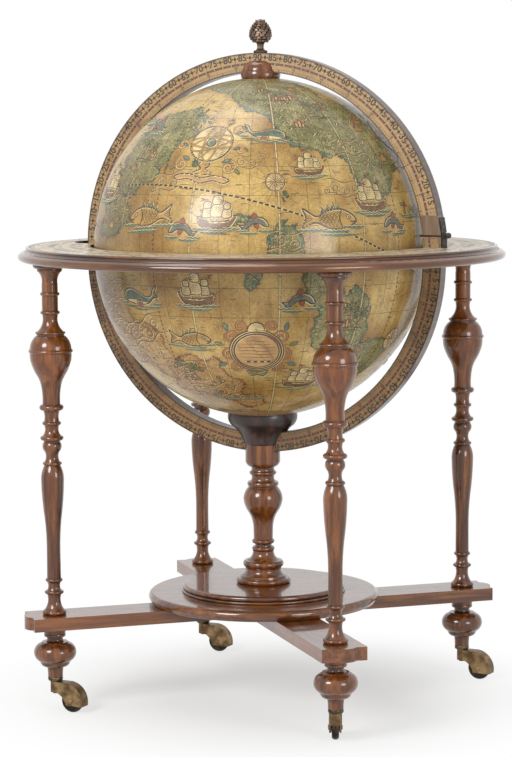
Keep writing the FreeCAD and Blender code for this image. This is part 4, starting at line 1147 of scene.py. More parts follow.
class PatternBook:
    """Draws each motif once, to be printed many times."""

    def __init__(self) -> None:
        """Draws the whole book."""
        self.stamps = {}
        for motif in Motif:
            stamp = Stamp()
            getattr(self, motif.value)(stamp)
            self.stamps[motif] = stamp.done(motif.value)

    @staticmethod
    def bow(
        across: float, high: float, x: float = 0.0, y: float = 0.0, start: float = 0.0, end: float = 180.0,
        count: int = 16,
    ) -> list[Point]:
        """Points along part of an oval with these half sizes round x and y."""
        angles = [math.radians(start + (end - start) * index / count) for index in range(count + 1)]
        return [(x + across * math.cos(angle), y + high * math.sin(angle)) for angle in angles]

    @staticmethod
    def oval(
        across: float, high: float, x: float = 0.0, y: float = 0.0, lean: float = 0.0, count: int = 48
    ) -> list[Point]:
        """Points of an oval with these half sizes round x and y, leaning by degrees."""
        along, aside = math.cos(math.radians(lean)), math.sin(math.radians(lean))
        points = PatternBook.bow(across, high, end=360.0 - 360.0 / count, count=count - 1)
        return [(x + a * along - b * aside, y + a * aside + b * along) for a, b in points]

    @staticmethod
    def swell(stamp: Stamp, *rows: tuple[float, float, float]) -> None:
        """Draws rows of waves, each from x, at y and so long, with pale crests over patches of water."""
        for x, y, length in rows:
            middle = x + length / 2.0
            patch = [(x, y), (middle, y + 2.2), (x + length, y), (middle, y - 2.4)]
            stamp.blob(patch, Ink.TEAL, 0.0, steps=4)
        for x, y, length in rows:
            count = max(2, int(length / 3.0))
            points = [(x + length * i / count, y + (0.9 if i % 2 else -0.3)) for i in range(count + 1)]
            stamp.curve([(px, py + 0.9) for px, py in points], 0.9, Ink.CREAM, steps=3)
            stamp.curve(points, 0.8, steps=3)

    @staticmethod
    def curl(
        stamp: Stamp, row: Sequence[float], hand: int, strokes: Sequence[tuple[float, Ink]]
    ) -> list[Point]:
        """Draws a scroll, or with a hand of -1 its mirror image, in strokes over one another.

        Args:
            stamp: The drawing.
            row: Its middle, reach, turns and start.
            hand: 1, or -1 for the mirror image.
            strokes: The width and the ink of each stroke.

        Returns:
            Points along the scroll.
        """
        x, y, reach, turns, start = row
        points = spiral(hand * x, y, reach, turns, start if hand > 0 else 180 - start, -hand)
        for width, ink in strokes:
            stamp.line(points, width, ink)
        return points

    def ship(self, stamp: Stamp) -> None:
        """A three-masted ship under sail."""
        hull = [
            (-24, 5), (-21, -4), (-12, -8), (4, -8.5), (17, -6), (25, 7), (18, 6), (14, 0.5), (-9, -0.5),
            (-13, 4),
        ]
        stamp.blob(hull, Ink.BROWN, 0.9)
        for drop in (0.0, 2.4, 4.6):
            plank = [(-20 + drop, 0.5 - drop), (-6, -2.5 - drop), (9, -2.5 - drop), (19 - drop, 1 - drop)]
            stamp.curve(plank, 0.5)
        stamp.wash([(14, 0.5), (18, 6), (25, 7), (22, 1)], Ink.ROSE, 0.6)
        for x, top, half in ((-12, 27, 5.5), (1, 36, 7.5), (13, 25, 5.0)):
            stamp.line([(x, -1), (x + 0.3, top)], 1.0)
            for low, high, share in ((0.12, 0.50, 1.0), (0.55, 0.82, 0.74)):
                foot, head = top * low + 1.5, top * high + 1.5
                wide = half * share
                sail = [
                    (x - wide, foot), (x - wide * 0.8, head), (x + wide * 0.9, head + 0.6),
                    (x + wide * 1.35, (foot + head) / 2), (x + wide, foot),
                ]
                stamp.hatch(stamp.blob(sail, Ink.CREAM), 2.6, 0.3)
            stamp.wash([(x, top), (x - 9, top + 2.2), (x - 5, top + 0.4), (x - 9, top - 1.6)], Ink.ROSE, 0.4)
        stamp.line([(-22, 4), (-33, 11)], 0.9)
        stamp.line([(-33, 11), (-12, 27)], 0.35)
        stamp.line([(25, 7), (13, 25)], 0.35)
        self.swell(stamp, (-30, -9.5, 24), (-8, -11.5, 30), (8, -9.0, 22), (-20, -14, 34))

    def whale(self, stamp: Stamp) -> None:
        """A spouting whale of the old charts."""
        body = [
            (-30, 2), (-27, 10), (-16, 14), (-2, 11), (12, 4), (22, 5), (27, 14), (34, 18), (30, 10), (34, 3),
            (26, 2), (16, -5), (0, -7), (-16, -6), (-27, -3),
        ]
        stamp.blob(body, Ink.TEAL, 1.0, steps=4)
        belly = [(-26, -2), (-10, -1), (6, -3), (16, -4.6), (0, -6.8), (-16, -5.8)]
        stamp.hatch(stamp.blob(belly, Ink.CREAM, 0.4), 1.8, 0.35)
        for index in range(7):
            x = -14 + 4.6 * index
            rise = 9.5 - 1.1 * index
            stamp.curve([(x - 2.4, rise), (x, rise - 3.4), (x + 2.4, rise)], 0.5, steps=3)
            stamp.curve([(x, rise - 4), (x + 2.2, rise - 7), (x + 4.4, rise - 4.4)], 0.5, steps=3)
        stamp.blob([(-6, -3), (-2, -12), (6, -11), (3, -3)], Ink.ROSE)
        stamp.curve([(-30, 1), (-24, 3), (-20, 1.5)], 0.9, steps=3)
        stamp.wash(spiral(-20.5, 7, 1.4, 1.0, 0.0), Ink.CREAM, 0.5)
        for side in (-1, 1):
            spout = [(-17, 14), (-17 + side * 2, 22), (-17 + side * 7, 24), (-17 + side * 10, 20)]
            stamp.curve(spout, 0.8, Ink.BLUE, steps=4)
        self.swell(stamp, (-38, -6, 14), (-34, -10, 30), (2, -10.5, 34), (-14, -13.5, 30), (24, -6, 16))

    def serpent(self, stamp: Stamp) -> None:
        """A sea serpent in three loops."""
        for x, reach in ((-16, 10.0), (4, 8.5), (20, 6.5)):
            outer = self.bow(reach, reach * 1.25, x, count=10)
            inner = self.bow(reach * 0.45, reach * 0.6, x, start=180, end=0, count=8)
            stamp.wash(outer + inner, Ink.GREEN, 0.8)
            feet = self.bow(reach, reach * 1.25, x, start=20, end=160, count=7)
            tips = self.bow(reach * 1.28, reach * 1.55, x, start=20, end=160, count=7)
            for spine in zip(feet, tips):
                stamp.line(spine, 0.7, Ink.ROSE)
        neck = [(-36, 0), (-35, 12), (-38, 18), (-46, 19), (-47, 16), (-41, 13.5), (-40, 8), (-41, 0)]
        stamp.hatch(stamp.blob(neck, Ink.GREEN, 0.8), 1.9, 0.4)
        stamp.blob([(-38, 17), (-33, 22), (-30, 17), (-35, 14)], Ink.ROSE, 0.5, steps=2)
        stamp.blob([(28, 0), (33, 7), (40, 11), (38, 5), (42, 2), (35, 1)], Ink.GREEN)
        self.swell(stamp, (-52, -1.5, 22), (-30, -2, 30), (2, -2, 40), (-44, -5, 50), (0, -5.5, 34))

    def rose(self, stamp: Stamp) -> None:
        """A compass rose of sixteen points."""
        stamp.wash(self.oval(19, 19, count=60), Ink.CREAM, 1.0)
        stamp.line(self.oval(16.6, 16.6, count=60), 0.5, closed=True)
        for length, first, step, inks in (
            (15.0, 22.5, 45.0, (Ink.BROWN, Ink.CREAM)),
            (18.0, 45.0, 90.0, (Ink.TEAL, Ink.CREAM)),
            (25.0, 0.0, 90.0, (Ink.ROSE, Ink.GOLD)),
        ):
            for index in range(int(360 / step)):
                turn = math.radians(first + step * index)
                tip = (length * math.cos(turn), length * math.sin(turn))
                for side, ink in zip((-1, 1), inks):
                    base = turn + side * math.radians(22.5)
                    stamp.wash([(0, 0), (5.2 * math.cos(base), 5.2 * math.sin(base)), tip], ink, 0.45)

    def armillary(self, stamp: Stamp) -> None:
        """A sphere of rings on a scrolled foot, with a blank ribbon under it."""
        curls = ((31, -25, 11, 1.6, 150), (38, 2, 8, 1.5, 190), (29, 31, 9, 1.5, 240), (13, 43, 6, 1.4, 260))
        for hand in (-1, 1):
            for row in curls:
                curl = self.curl(stamp, row, hand, ((3.6, Ink.LINE), (2.4, Ink.FLESH)))
                reach = row[2]
                stamp.leaf(*curl[0], 90 - hand * 60, reach * 1.1, reach * 0.5, Ink.TEAL)
                stamp.leaf(*curl[5], 90 - hand * 130, reach * 0.9, reach * 0.4, Ink.GREEN)
        foot = [(-4, -20), (-7, -26), (-3, -31), (-13, -37), (13, -37), (3, -31), (7, -26), (4, -20)]
        stamp.blob(foot, Ink.GOLD, 0.9)
        stamp.wash(self.oval(26, 26, 0, 6), Ink.CREAM, 1.2)
        for across, high, lean in ((26, 8, 0), (25.5, 9, 24), (9, 26, 0), (23, 5, 66)):
            ring = self.oval(across, high, 0, 6, lean)
            stamp.line(ring, 2.5, closed=True)
            stamp.line(ring, 1.3, Ink.GOLD, closed=True)
        stamp.wash(self.oval(5.5, 5.5, 0, 6), Ink.TEAL, 0.8)
        stamp.line([(-13, -24), (0, 6), (13, 36)], 1.4)
        ribbon = [
            (-36, -41), (-17, -38), (0, -43), (17, -38), (36, -41), (31, -47), (16, -45), (0, -50),
            (-16, -45), (-31, -47),
        ]
        stamp.blob(ribbon, Ink.FLESH, 0.9)

    def cartouche(self, stamp: Stamp) -> None:
        """A strapwork frame round a blank panel with a bar scale."""
        curls = (
            (38, 24, 13, 1.6, 180), (42, -8, 12, 1.6, 120), (30, -33, 11, 1.6, 100), (24, 44, 10, 1.5, 230))
        leaves = ((44, 34, 70, 17, Ink.TEAL), (50, 8, 15, 15, Ink.GREEN), (46, -26, -30, 16, Ink.TEAL))
        for hand in (-1, 1):
            for row in curls:
                self.curl(stamp, row, hand, ((5.2, Ink.LINE), (4.0, Ink.ROSE), (1.2, Ink.GOLD)))
            for x, y, angle, length, ink in leaves:
                stamp.leaf(hand * x, y, angle if hand > 0 else 180 - angle, length, 8, ink)
        for share, ink in ((1.0, Ink.GOLD), (0.91, Ink.ROSE), (0.82, Ink.FLESH)):
            stamp.wash(self.oval(41 * share, 38 * share, count=60), ink, 1.0)
        for level, half in ((19, 16), (13, 22), (7, 26), (1, 27), (-5, 27), (-11, 24)):
            rule = [(-half, level), (-half / 3, level + 0.6), (half / 3, level - 0.6), (half, level)]
            stamp.curve(rule, 0.9, Ink.FINE)
        for index in range(8):
            x = -20 + 5 * index
            ink = Ink.LINE if index % 2 else Ink.CREAM
            stamp.wash([(x, -21), (x + 5, -21), (x + 5, -18), (x, -18)], ink, 0.4)
        stamp.wash(self.bow(13, 13, 0, 38), Ink.CREAM, 0.9)
        for tip in self.bow(12, 12, 0, 38, 15, 165, 8):
            stamp.line([(0, 38), tip], 0.6, Ink.BROWN)
        stamp.blob([(-16, -38), (0, -42), (16, -38), (9, -50), (0, -47), (-9, -50)], Ink.GREEN, 0.9)

    def dolphin(self, stamp: Stamp) -> None:
        """A leaping dolphin with a fluted tail."""
        body = [
            (-18, -2), (-14, 6), (-4, 10), (8, 7), (15, -1), (22, -1), (18, -5), (20, -11), (13, -7), (4, 0),
            (-6, 1), (-13, -3),
        ]
        stamp.hatch(stamp.blob(body, Ink.BLUE, 0.9, steps=4), 2.0, 0.35)
        stamp.blob([(-4, 10), (2, 16), (5, 8)], Ink.ROSE, 0.6, steps=2)
        stamp.blob([(-5, 1), (-3, -6), (2, -1)], Ink.ROSE, 0.6, steps=2)
        self.swell(stamp, (-24, -9, 20), (-4, -12, 26), (10, -9, 16))

    def fish(self, stamp: Stamp) -> None:
        """A scaly fish of the old charts, with a spiny back."""
        crest = [(-12, 11), (-9, 20), (-6, 12.5), (-2, 21), (1, 12.5), (5, 19), (8, 10), (12, 15), (14, 7)]
        stamp.wash(crest, Ink.TEAL, 0.9)
        stamp.wash([(-6, -8), (-2, -17), (2, -9), (7, -15), (9, -6)], Ink.ROSE, 0.8)
        body = [
            (-32, 0), (-25, 8), (-11, 13), (5, 11), (18, 5), (26, 8), (36, 15), (33, 4), (38, -8), (26, -3),
            (18, -3), (5, -9), (-11, -10), (-25, -6),
        ]
        stamp.blob(body, Ink.GOLD, 1.1, steps=4)
        for row in range(4):
            for column in range(6 - row % 2):
                x = -8.0 + 4.6 * column + 2.3 * (row % 2)
                y = (7.5 - 4.6 * row) * (1.0 - 0.10 * column)
                stamp.curve([(x - 1.6, y + 2.0), (x + 1.4, y), (x - 1.6, y - 2.0)], 0.8, steps=3)
        stamp.curve([(-13, 12), (-9.5, 2), (-13, -9)], 1.5, steps=4)
        stamp.curve([(-32, 0), (-27, -2.0), (-23, -0.5)], 1.4, steps=3)
        stamp.wash(self.oval(2.6, 2.6, -21.5, 4.0), Ink.CREAM, 0.6)
        stamp.wash(self.oval(1.1, 1.1, -21.8, 4.0), Ink.LINE, 0.0)
        for lift in (-4.0, 1.0, 6.0):
            stamp.line([(25, 2.5 + lift * 0.3), (34, 3 + lift)], 0.8)
        self.swell(stamp, (-44, -8, 30), (-22, -13, 36), (6, -11, 40), (-36, -17, 52))

    def flourish(self, stamp: Stamp) -> None:
        """A penman's flourish of loops and waves."""
        loops = (
            (-21, 4, 13, 1.7, 0, 1), (6, -3, 11, 1.6, 180, -1), (28, 5, 9, 1.5, 0, 1),
            (-41, -6, 8, 1.5, 90, -1),
        )
        strokes = [spiral(*loop) for loop in loops]
        for level in (-15, 17):
            wave = [(-50, level), (-26, level + 6), (0, level - 2), (24, level + 5), (46, level)]
            strokes.append(flow(wave))
        for stroke in strokes:
            # Each stroke has a pale shifted copy under it: a painted highlight of raised print.
            stamp.line([(x + stamp.RELIEF, y - stamp.RELIEF) for x, y in stroke], 1.8, Ink.CREAM)
            stamp.line(stroke, 2.0, Ink.BROWN)
            stamp.line(stroke, 1.2)

    def palm(self, stamp: Stamp) -> None:
        """Two palms on a rise."""
        for x, lean, top in ((-4, -2.0, 20.0), (5, 3.0, 15.0)):
            stamp.curve([(x, 0), (x + lean * 0.3, top * 0.5), (x + lean, top)], 1.8, Ink.BROWN)
            for angle in range(-30, 211, 40):
                stamp.leaf(x + lean, top, angle, 8.5, 2.8, Ink.GREEN)
        stamp.curve([(-13, -1), (-5, 1.5), (4, 0), (13, -1)], 0.8)
        stamp.curve([(-9, -3), (0, -2), (9, -3)], 0.6)

    def hill(self, stamp: Stamp) -> None:
        """A molehill with a shaded flank."""
        # The pale line under the outline is a painted highlight of raised print.
        stamp.line([(-3.8, -0.8), (-1.2, 2.8), (0.8, 4.2), (3.0, 2.2), (5.6, -0.8)], 1.3, Ink.CREAM)
        stamp.line([(-4.5, 0), (-2, 3.5), (0, 5), (2.2, 3), (4.8, 0)], 1.3)
        for x, drop in ((0.3, 0.6), (1.5, 0.8), (2.7, 0.6)):
            stamp.line([(x, 4.4 - x), (x + 0.4, drop)], 0.9)

    def town(self, stamp: Stamp) -> None:
        """Towers with red roofs."""
        for x, wide, high in ((-4.5, 3.2, 6.0), (-0.8, 3.6, 9.0), (3.2, 3.0, 5.0)):
            stamp.wash([(x, 0), (x + wide, 0), (x + wide, high), (x, high)], Ink.FLESH, 0.6)
            stamp.wash([(x - 0.5, high), (x + wide + 0.5, high), (x + wide / 2.0, high + 4.0)], Ink.ROSE, 0.5)
        stamp.line([(-7, 0), (0, -0.6), (8, 0)], 0.7)

    def tuft(self, stamp: Stamp) -> None:
        """A small round tree."""
        stamp.line([(0, -2.5), (0, 0.5)], 0.8)
        stamp.wash(self.oval(2.2, 2.4, 0, 2, count=8), Ink.GREEN, 0.6)

    def wave(self, stamp: Stamp) -> None:
        """A short ripple."""
        stamp.line([(-4, 0), (-2, 0.8), (0, 0), (2, 0.8), (4, 0)], 0.9, Ink.FINE)


@dataclass(frozen=True)
class PrintedInk(Finish):
    """Ink and water colour on the chart, worn with it. Each point carries its own colour."""

    paper: Colour = tone(178, 146, 86)
    pool: Colour = tone(84, 56, 30)
    layer: str = "ink"

    def make(self) -> Material:
        """Builds the material.

        Returns:
            The material.
        """
        sheet = self.sheet()
        place = sheet.place()
        ink = sheet.node("ShaderNodeAttribute", {"attribute_name": self.layer}, output="Color")
        worn = sheet.noise(place, 130.0, 4.0, 0.65)
        pooled = sheet.noise(place, 38.0, 3.0, 0.6)
        colour = sheet.coats(
            ink, (0.04 + 0.40 * worn.ease(0.44, 0.78), self.paper),
            (pooled.ease(0.42, 0.75) * 0.40, self.pool))
        return sheet.surface(
            Base_Color=colour, Roughness=0.40 + 0.2 * worn, Coat_Weight=0.45, Coat_Roughness=0.18)


@dataclass(frozen=True)
class Print:
    """One motif in its place on the globe."""

    motif: Motif
    lon: float
    lat: float
    size: float = 1.0
    turn: float = 0.0
    flip: bool = False


FRONT_LON = -66.0
FRONT_PRINTS = (
    (Motif.CARTOUCHE, -2, -32, 1.14), (Motif.ARMILLARY, -21, 37, 1.44, -5.0),
    (Motif.FISH, -41, 12, 1.40, 4.0), (Motif.FISH, 24, 11, 1.45, 0.0, True), (Motif.ROSE, 5, 24, 0.85),
    (Motif.SHIP, -15, 11, 1.38), (Motif.SHIP, 41, 16, 1.44, 0.0, True), (Motif.SHIP, 18, 28, 1.08),
    (Motif.DOLPHIN, -27, 8, 1.38), (Motif.DOLPHIN, -2, 10, 1.25, 0.0, True), (Motif.DOLPHIN, 50, 9, 1.38),
    (Motif.WHALE, 2, 42, 1.14, -10.0, True), (Motif.SERPENT, 66, 12, 1.10), (Motif.DOLPHIN, -60, 46, 1.62),
    (Motif.SHIP, -70, 20, 1.44), (Motif.WHALE, -46, -14, 1.32), (Motif.SHIP, -22, -13, 1.38, 0.0, True),
    (Motif.FISH, -27, -28, 1.15, 0.0, True), (Motif.FLOURISH, -56, -26, 1.00),
    (Motif.SERPENT, -12, -56, 1.00), (Motif.DOLPHIN, 13, -14, 1.44, 0.0, True), (Motif.SHIP, 18, -47, 1.26),
    (Motif.FLOURISH, -62, -12, 1.10), (Motif.ROSE, 60, -30, 1.10), (Motif.FLOURISH, -36, -40, 0.80),
    (Motif.FLOURISH, -56, 16, 0.75), (Motif.FLOURISH, 40, 36, 0.90), (Motif.FLOURISH, -70, -20, 1.30),
    (Motif.FLOURISH, -48, -26, 1.20, 20.0), (Motif.FLOURISH, -66, -36, 1.20, -15.0),
    (Motif.FLOURISH, -24, -52, 1.10, 10.0), (Motif.FLOURISH, -34, 24, 0.90, 12.0),
    (Motif.FLOURISH, 10, 4, 0.90), (Motif.FLOURISH, 30, 21, 0.80, -8.0),
    (Motif.FLOURISH, -4, 31, 0.70, 6.0), (Motif.PALM, -53, 32, 1.60), (Motif.PALM, 34, -24, 1.80),
    (Motif.PALM, 32, 50, 1.70), (Motif.PALM, -34, -45, 1.70), (Motif.PALM, 10, 60, 1.50),
    (Motif.ARMILLARY, 72, 40, 1.32),
)
FAR_PRINTS = (
    (Motif.CARTOUCHE, 34, 34, 1.20), (Motif.ARMILLARY, 26, -32, 1.32), (Motif.WHALE, 26, 8, 1.44),
    (Motif.SHIP, 76, 11, 1.56), (Motif.SHIP, 118, -13, 1.56, 0.0, True), (Motif.ROSE, 98, -14, 1.00),
    (Motif.SERPENT, 146, -16, 1.20), (Motif.DOLPHIN, 98, -46, 1.75), (Motif.FISH, 128, 12, 1.40),
    (Motif.ARMILLARY, 158, 34, 1.32), (Motif.WHALE, 178, 14, 1.44, 0.0, True),
    (Motif.CARTOUCHE, -166, -30, 1.20), (Motif.SHIP, -156, 11, 1.56), (Motif.SERPENT, -144, 48, 1.10),
    (Motif.ROSE, -158, 34, 0.90), (Motif.SHIP, 136, -52, 1.44), (Motif.WHALE, 44, -60, 1.32),
    (Motif.PALM, 100, 32, 1.80), (Motif.PALM, 62, -22, 1.80), (Motif.PALM, 124, -26, 1.60),
)
PRINTS = (
    *(Print(motif, FRONT_LON + lon, *rest) for motif, lon, *rest in FRONT_PRINTS),
    *(Print(*row) for row in FAR_PRINTS),
)


@dataclass
class Engraving:
    """The drawings on the globe, pressed on to its skin."""

    radius: float
    seed: int = 7
    marks: int = 2400
    pole_share: float = 0.92
    equator_gap: float = 4.0
    inland: float = 0.05
    offshore: float = 0.06
    ripple_share: float = 0.6
    book: PatternBook = field(default_factory=PatternBook)

    def build(self, halves: Mapping[str, tuple[str, float]], finish: Material) -> None:
        """Prints the motifs and the small marks on both halves.

        Args:
            halves: The body and the centre's height, for "upper" and "lower".
            finish: The ink.
        """
        works = {half: Workpiece(f"{half}_globe_engraving") for half in halves}
        for work in works.values():
            work.mesh.verts.layers.float_color.new("ink")
        for row in (*PRINTS, *self.small_marks()):
            half = "upper" if row.lat > 0 else "lower"
            self.press(works[half].mesh, row, halves[half][1])
        for half, work in works.items():
            body, level = halves[half]
            centre = UP * level
            work.cut(centre, -UP if half == "upper" else UP)
            work.mesh.normal_update()
            inward = [f for f in work.mesh.faces if f.normal.dot(f.calc_center_median() - centre) < 0.0]
            bmesh.ops.reverse_faces(work.mesh, faces=inward)
            work.deliver(body, "printed_shell", [finish])

    def small_marks(self) -> list[Print]:
        """Scatters hills and trees over the lands and ripples over the sea, the same on each run.

        Returns:
            The marks and their places.
        """
        dice = random.Random(self.seed)
        rows = []
        for _ in range(self.marks):
            lat = math.degrees(math.asin(dice.uniform(-self.pole_share, self.pole_share)))
            lon = dice.uniform(-180.0, 180.0)
            if abs(lat) < self.equator_gap:
                continue
            point = outward(lon, lat)
            depth = max(land.reach - (point - land.middle()).length for land in GREEN_LANDS + OCHRE_LANDS)
            if depth > self.inland:
                motif = dice.choices((Motif.HILL, Motif.TUFT, Motif.TOWN), (5, 3, 1))[0]
                rows.append(Print(motif, lon, lat, dice.uniform(1.0, 1.6)))
            elif depth < -self.offshore and dice.random() < self.ripple_share:
                rows.append(Print(Motif.WAVE, lon, lat, dice.uniform(0.8, 2.0)))
        return rows

    def press(self, mesh: BMesh, row: Print, level: float) -> None:
        """Bends one drawing on to the sphere.

        Args:
            mesh: The mesh that it joins.
            row: The motif and its place.
            level: The height of the sphere's centre.
        """
        out = outward(row.lon, row.lat)
        east, north = compass(out)
        turn = math.radians(row.turn)
        right = east * math.cos(turn) + north * math.sin(turn)
        up = north * math.cos(turn) - east * math.sin(turn)
        scale = row.size * MILLIMETRE
        hand = -1.0 if row.flip else 1.0
        first = len(mesh.verts)
        mesh.from_mesh(self.book.stamps[row.motif])
        mesh.verts.ensure_lookup_table()
        for vert in mesh.verts[first:]:
            x, y, lift = vert.co
            way = (out * self.radius + right * (x * scale * hand) + up * (y * scale)).normalized()
            vert.co = UP * level + way * (self.radius + lift * MILLIMETRE)


@dataclass
class Stand:
    """The pieces whose solids have the right shape, each with its finish."""

    bearing: float = 42.0
    disc_bearing: float = 24.0
    board_varnish: float = 1.6
    corners: tuple[str, ...] = ("right", "back", "left", "front")

    def dress(self, nodes: Mapping[str, bpy.types.Object]) -> None:
        """Gives every wooden, brass and iron solid its material.

        Args:
            nodes: The solids' objects, by name.
        """
        turned = PolishedWood("turned_walnut").make()
        ring = PolishedWood(
            "ring_walnut", dark=tone(52, 26, 10), middle=tone(98, 54, 20), light=tone(138, 86, 38),
            grain=Grain.AROUND).make()
        boards = [
            PolishedWood(
                f"board_walnut_{index}", grain=Grain.ALONG, bearing=self.bearing + 90.0 * index,
                varnish=self.board_varnish).make()
            for index in range(2)
        ]
        disc = PolishedWood(
            "disc_walnut", grain=Grain.ALONG, bearing=self.disc_bearing, varnish=self.board_varnish).make()
        # The meridian's wood is darker than the stand's: partly its own dark wood, partly painted shade for
        # its inner edge beside the globe.
        meridian = PolishedWood(
            "meridian_wood", dark=tone(44, 29, 20), middle=tone(82, 57, 38), light=tone(116, 86, 60),
            grain=Grain.AROUND, polish=0.3, gloss=0.15).make()
        block = PolishedWood(
            "hinge_wood", dark=tone(72, 55, 42), middle=tone(112, 90, 70), light=tone(142, 118, 94),
            polish=0.3, gloss=0.15).make()
        brass = AgedBrass("aged_brass").make()
        worn_brass = AgedBrass("worn_brass", tone(112, 96, 76), tone(58, 48, 38), tone(24, 20, 17)).make()
        tread = AgedBrass("worn_tread", tone(78, 70, 60), tone(42, 37, 32), tone(18, 16, 14)).make()
        iron = BlackIron("black_iron").make()
        plans = {
            "horizon_ring": ring, "lower_cross_board": boards[0], "upper_cross_board": boards[1],
            "base_disc": disc, "base_step": disc, "column": turned,
            "pole_cup": Ebonized("ebonized_wood").make(), "pole_hub": turned, "lower_meridian": meridian,
            "upper_meridian": meridian, "hinge_block": block, "hinge_leaf_fixed": iron,
            "hinge_leaf_lid": iron, "hinge_pin": iron, "finial_stem": worn_brass, "finial_cone": brass,
            "upper_dowels": turned, "lower_dowels": turned, "lower_rim": ring, "upper_rim": ring,
            "well_floor": disc, "bottle_tray": disc,
        }
        for corner in self.corners:
            for kind in ("leg", "foot"):
                plans[f"{corner}_{kind}"] = turned
            for kind in ("caster_horn", "caster_axle"):
                plans[f"{corner}_{kind}"] = brass
            plans[f"{corner}_caster_socket"] = worn_brass
            plans[f"{corner}_caster_wheel"] = tread
        for name, finish in plans.items():
            self.paint(nodes[name], finish)

    @staticmethod
    def paint(node: bpy.types.Object, finish: Material) -> None:
        """Puts a finish on every material slot of a solid.

        Args:
            node: The solid's object.
            finish: The material.
        """
        for slot in node.material_slots:
            slot.material = finish
        LOG.info("%s is finished in %s", node.name, finish.name)


@dataclass(frozen=True)
class DialRow:
    """One ring of a printed scale: how far from the scale's inner edge it lies, and how its marks repeat.

    A step of 0 is a solid line, and other steps are in degrees.
    """

    inner: float
    outer: float
    step: float = 0.0
    share: float = 0.5
    colour: Colour = tone(44, 32, 22)
    strength: float = 0.85


SCALE_RED = tone(128, 34, 22)
SCALE_BROWN = tone(58, 36, 18)
MERIDIAN_ROWS = (
    DialRow(0.0020, 0.0042, 1.0, 0.16, strength=0.7),
    DialRow(0.0020, 0.0052, 5.0, 0.05),
    DialRow(0.0056, 0.0060, strength=0.7),
    DialRow(0.0128, 0.0132, strength=0.8),
    DialRow(0.0132, 0.0166, 1.5, 0.70, strength=0.95),
    DialRow(0.0132, 0.0166, 3.0, 0.34, SCALE_RED, 0.95),
    DialRow(0.0163, 0.0167, strength=0.8),
    DialRow(0.0167, 0.0318, 5.0, 0.03, strength=0.6),
    DialRow(0.0205, 0.0225, 2.5, 0.12, strength=0.6),
    DialRow(0.0275, 0.0295, 2.5, 0.12, SCALE_RED, 0.6),
    DialRow(0.0314, 0.034, colour=SCALE_BROWN, strength=0.85),
    DialRow(0.0, 0.0020, colour=SCALE_BROWN, strength=0.85),
)
SIGN_RED = tone(120, 50, 30)
SIGN_GREEN = tone(74, 86, 48)
HORIZON_ROWS = (
    DialRow(0.002, 0.003),
    DialRow(0.003, 0.007, 2.0, 0.5, strength=0.9),
    DialRow(0.007, 0.008),
    DialRow(0.008, 0.012, 1.0, 0.10, strength=0.6),
    DialRow(0.0255, 0.0262),
    DialRow(0.027, 0.036, 30.0, 0.80, SIGN_RED, 0.75),
    DialRow(0.0285, 0.0345, 6.0, 0.5, strength=0.6),
    DialRow(0.037, 0.0377),
    DialRow(0.038, 0.043, 1.0, 0.08, strength=0.6),
    DialRow(0.038, 0.046, 5.0, 0.03, strength=0.8),
    DialRow(0.060, 0.0607),
    DialRow(0.062, 0.074, 24.0, 0.60, SIGN_GREEN, 0.80),
    DialRow(0.064, 0.072, 6.0, 0.4, strength=0.7),
    DialRow(0.062, 0.074, 7.5, 0.04, strength=0.8),
    DialRow(0.075, 0.0757),
    DialRow(0.078, 0.084, 3.0, 0.5, SIGN_RED, 0.6),
    DialRow(0.085, 0.0857),
    DialRow(0.099, 0.100),
    DialRow(0.101, 0.105, 2.0, 0.5, strength=0.9),
    DialRow(0.1055, 0.108, strength=0.95),
)


@dataclass(frozen=True)
class ScalePrint(Finish):
    """An aged paper scale, printed in rings round a centre."""

    rows: tuple[DialRow, ...]
    inner: float
    paper: Colour
    pale: Colour
    level: float = 0.0
    upright: bool = True
    stain: Colour = tone(70, 45, 24)
    soft: float = 0.0003

    def make(self) -> Material:
        """Builds the material.

        Returns:
            The material.
        """
        sheet = self.sheet()
        place = sheet.place()
        x, y, z = sheet.parts(place)
        across = z - self.level if self.upright else y
        out = sheet.away(x, across)
        around = sheet.degrees(across, x)
        cloud = sheet.noise(place, 16.0, 5.0, 0.62)
        fibre = sheet.noise(place, 190.0, 3.0, 0.6)
        coats = [(cloud.ease(0.35, 0.68), self.pale)]
        for row in self.rows:
            middle = self.inner + (row.inner + row.outer) / 2.0
            mask = out.near(middle, (row.outer - row.inner) / 2.0, self.soft)
            if row.step:
                mask = mask * (around / row.step % 1.0).near(0.5, row.share / 2.0, 0.02)
            coats.append((mask * row.strength, row.colour))
        coats.append((cloud.ease(0.50, 0.80) * 0.5, self.stain))
        coats.append((fibre.ease(0.50, 0.78) * 0.35, self.stain))
        return sheet.surface(
            Base_Color=sheet.coats(self.paper, *coats), Roughness=0.36 + 0.2 * cloud,
            Normal=sheet.bump(fibre, 0.12, 0.0006), Coat_Weight=0.35, Coat_Roughness=0.2)


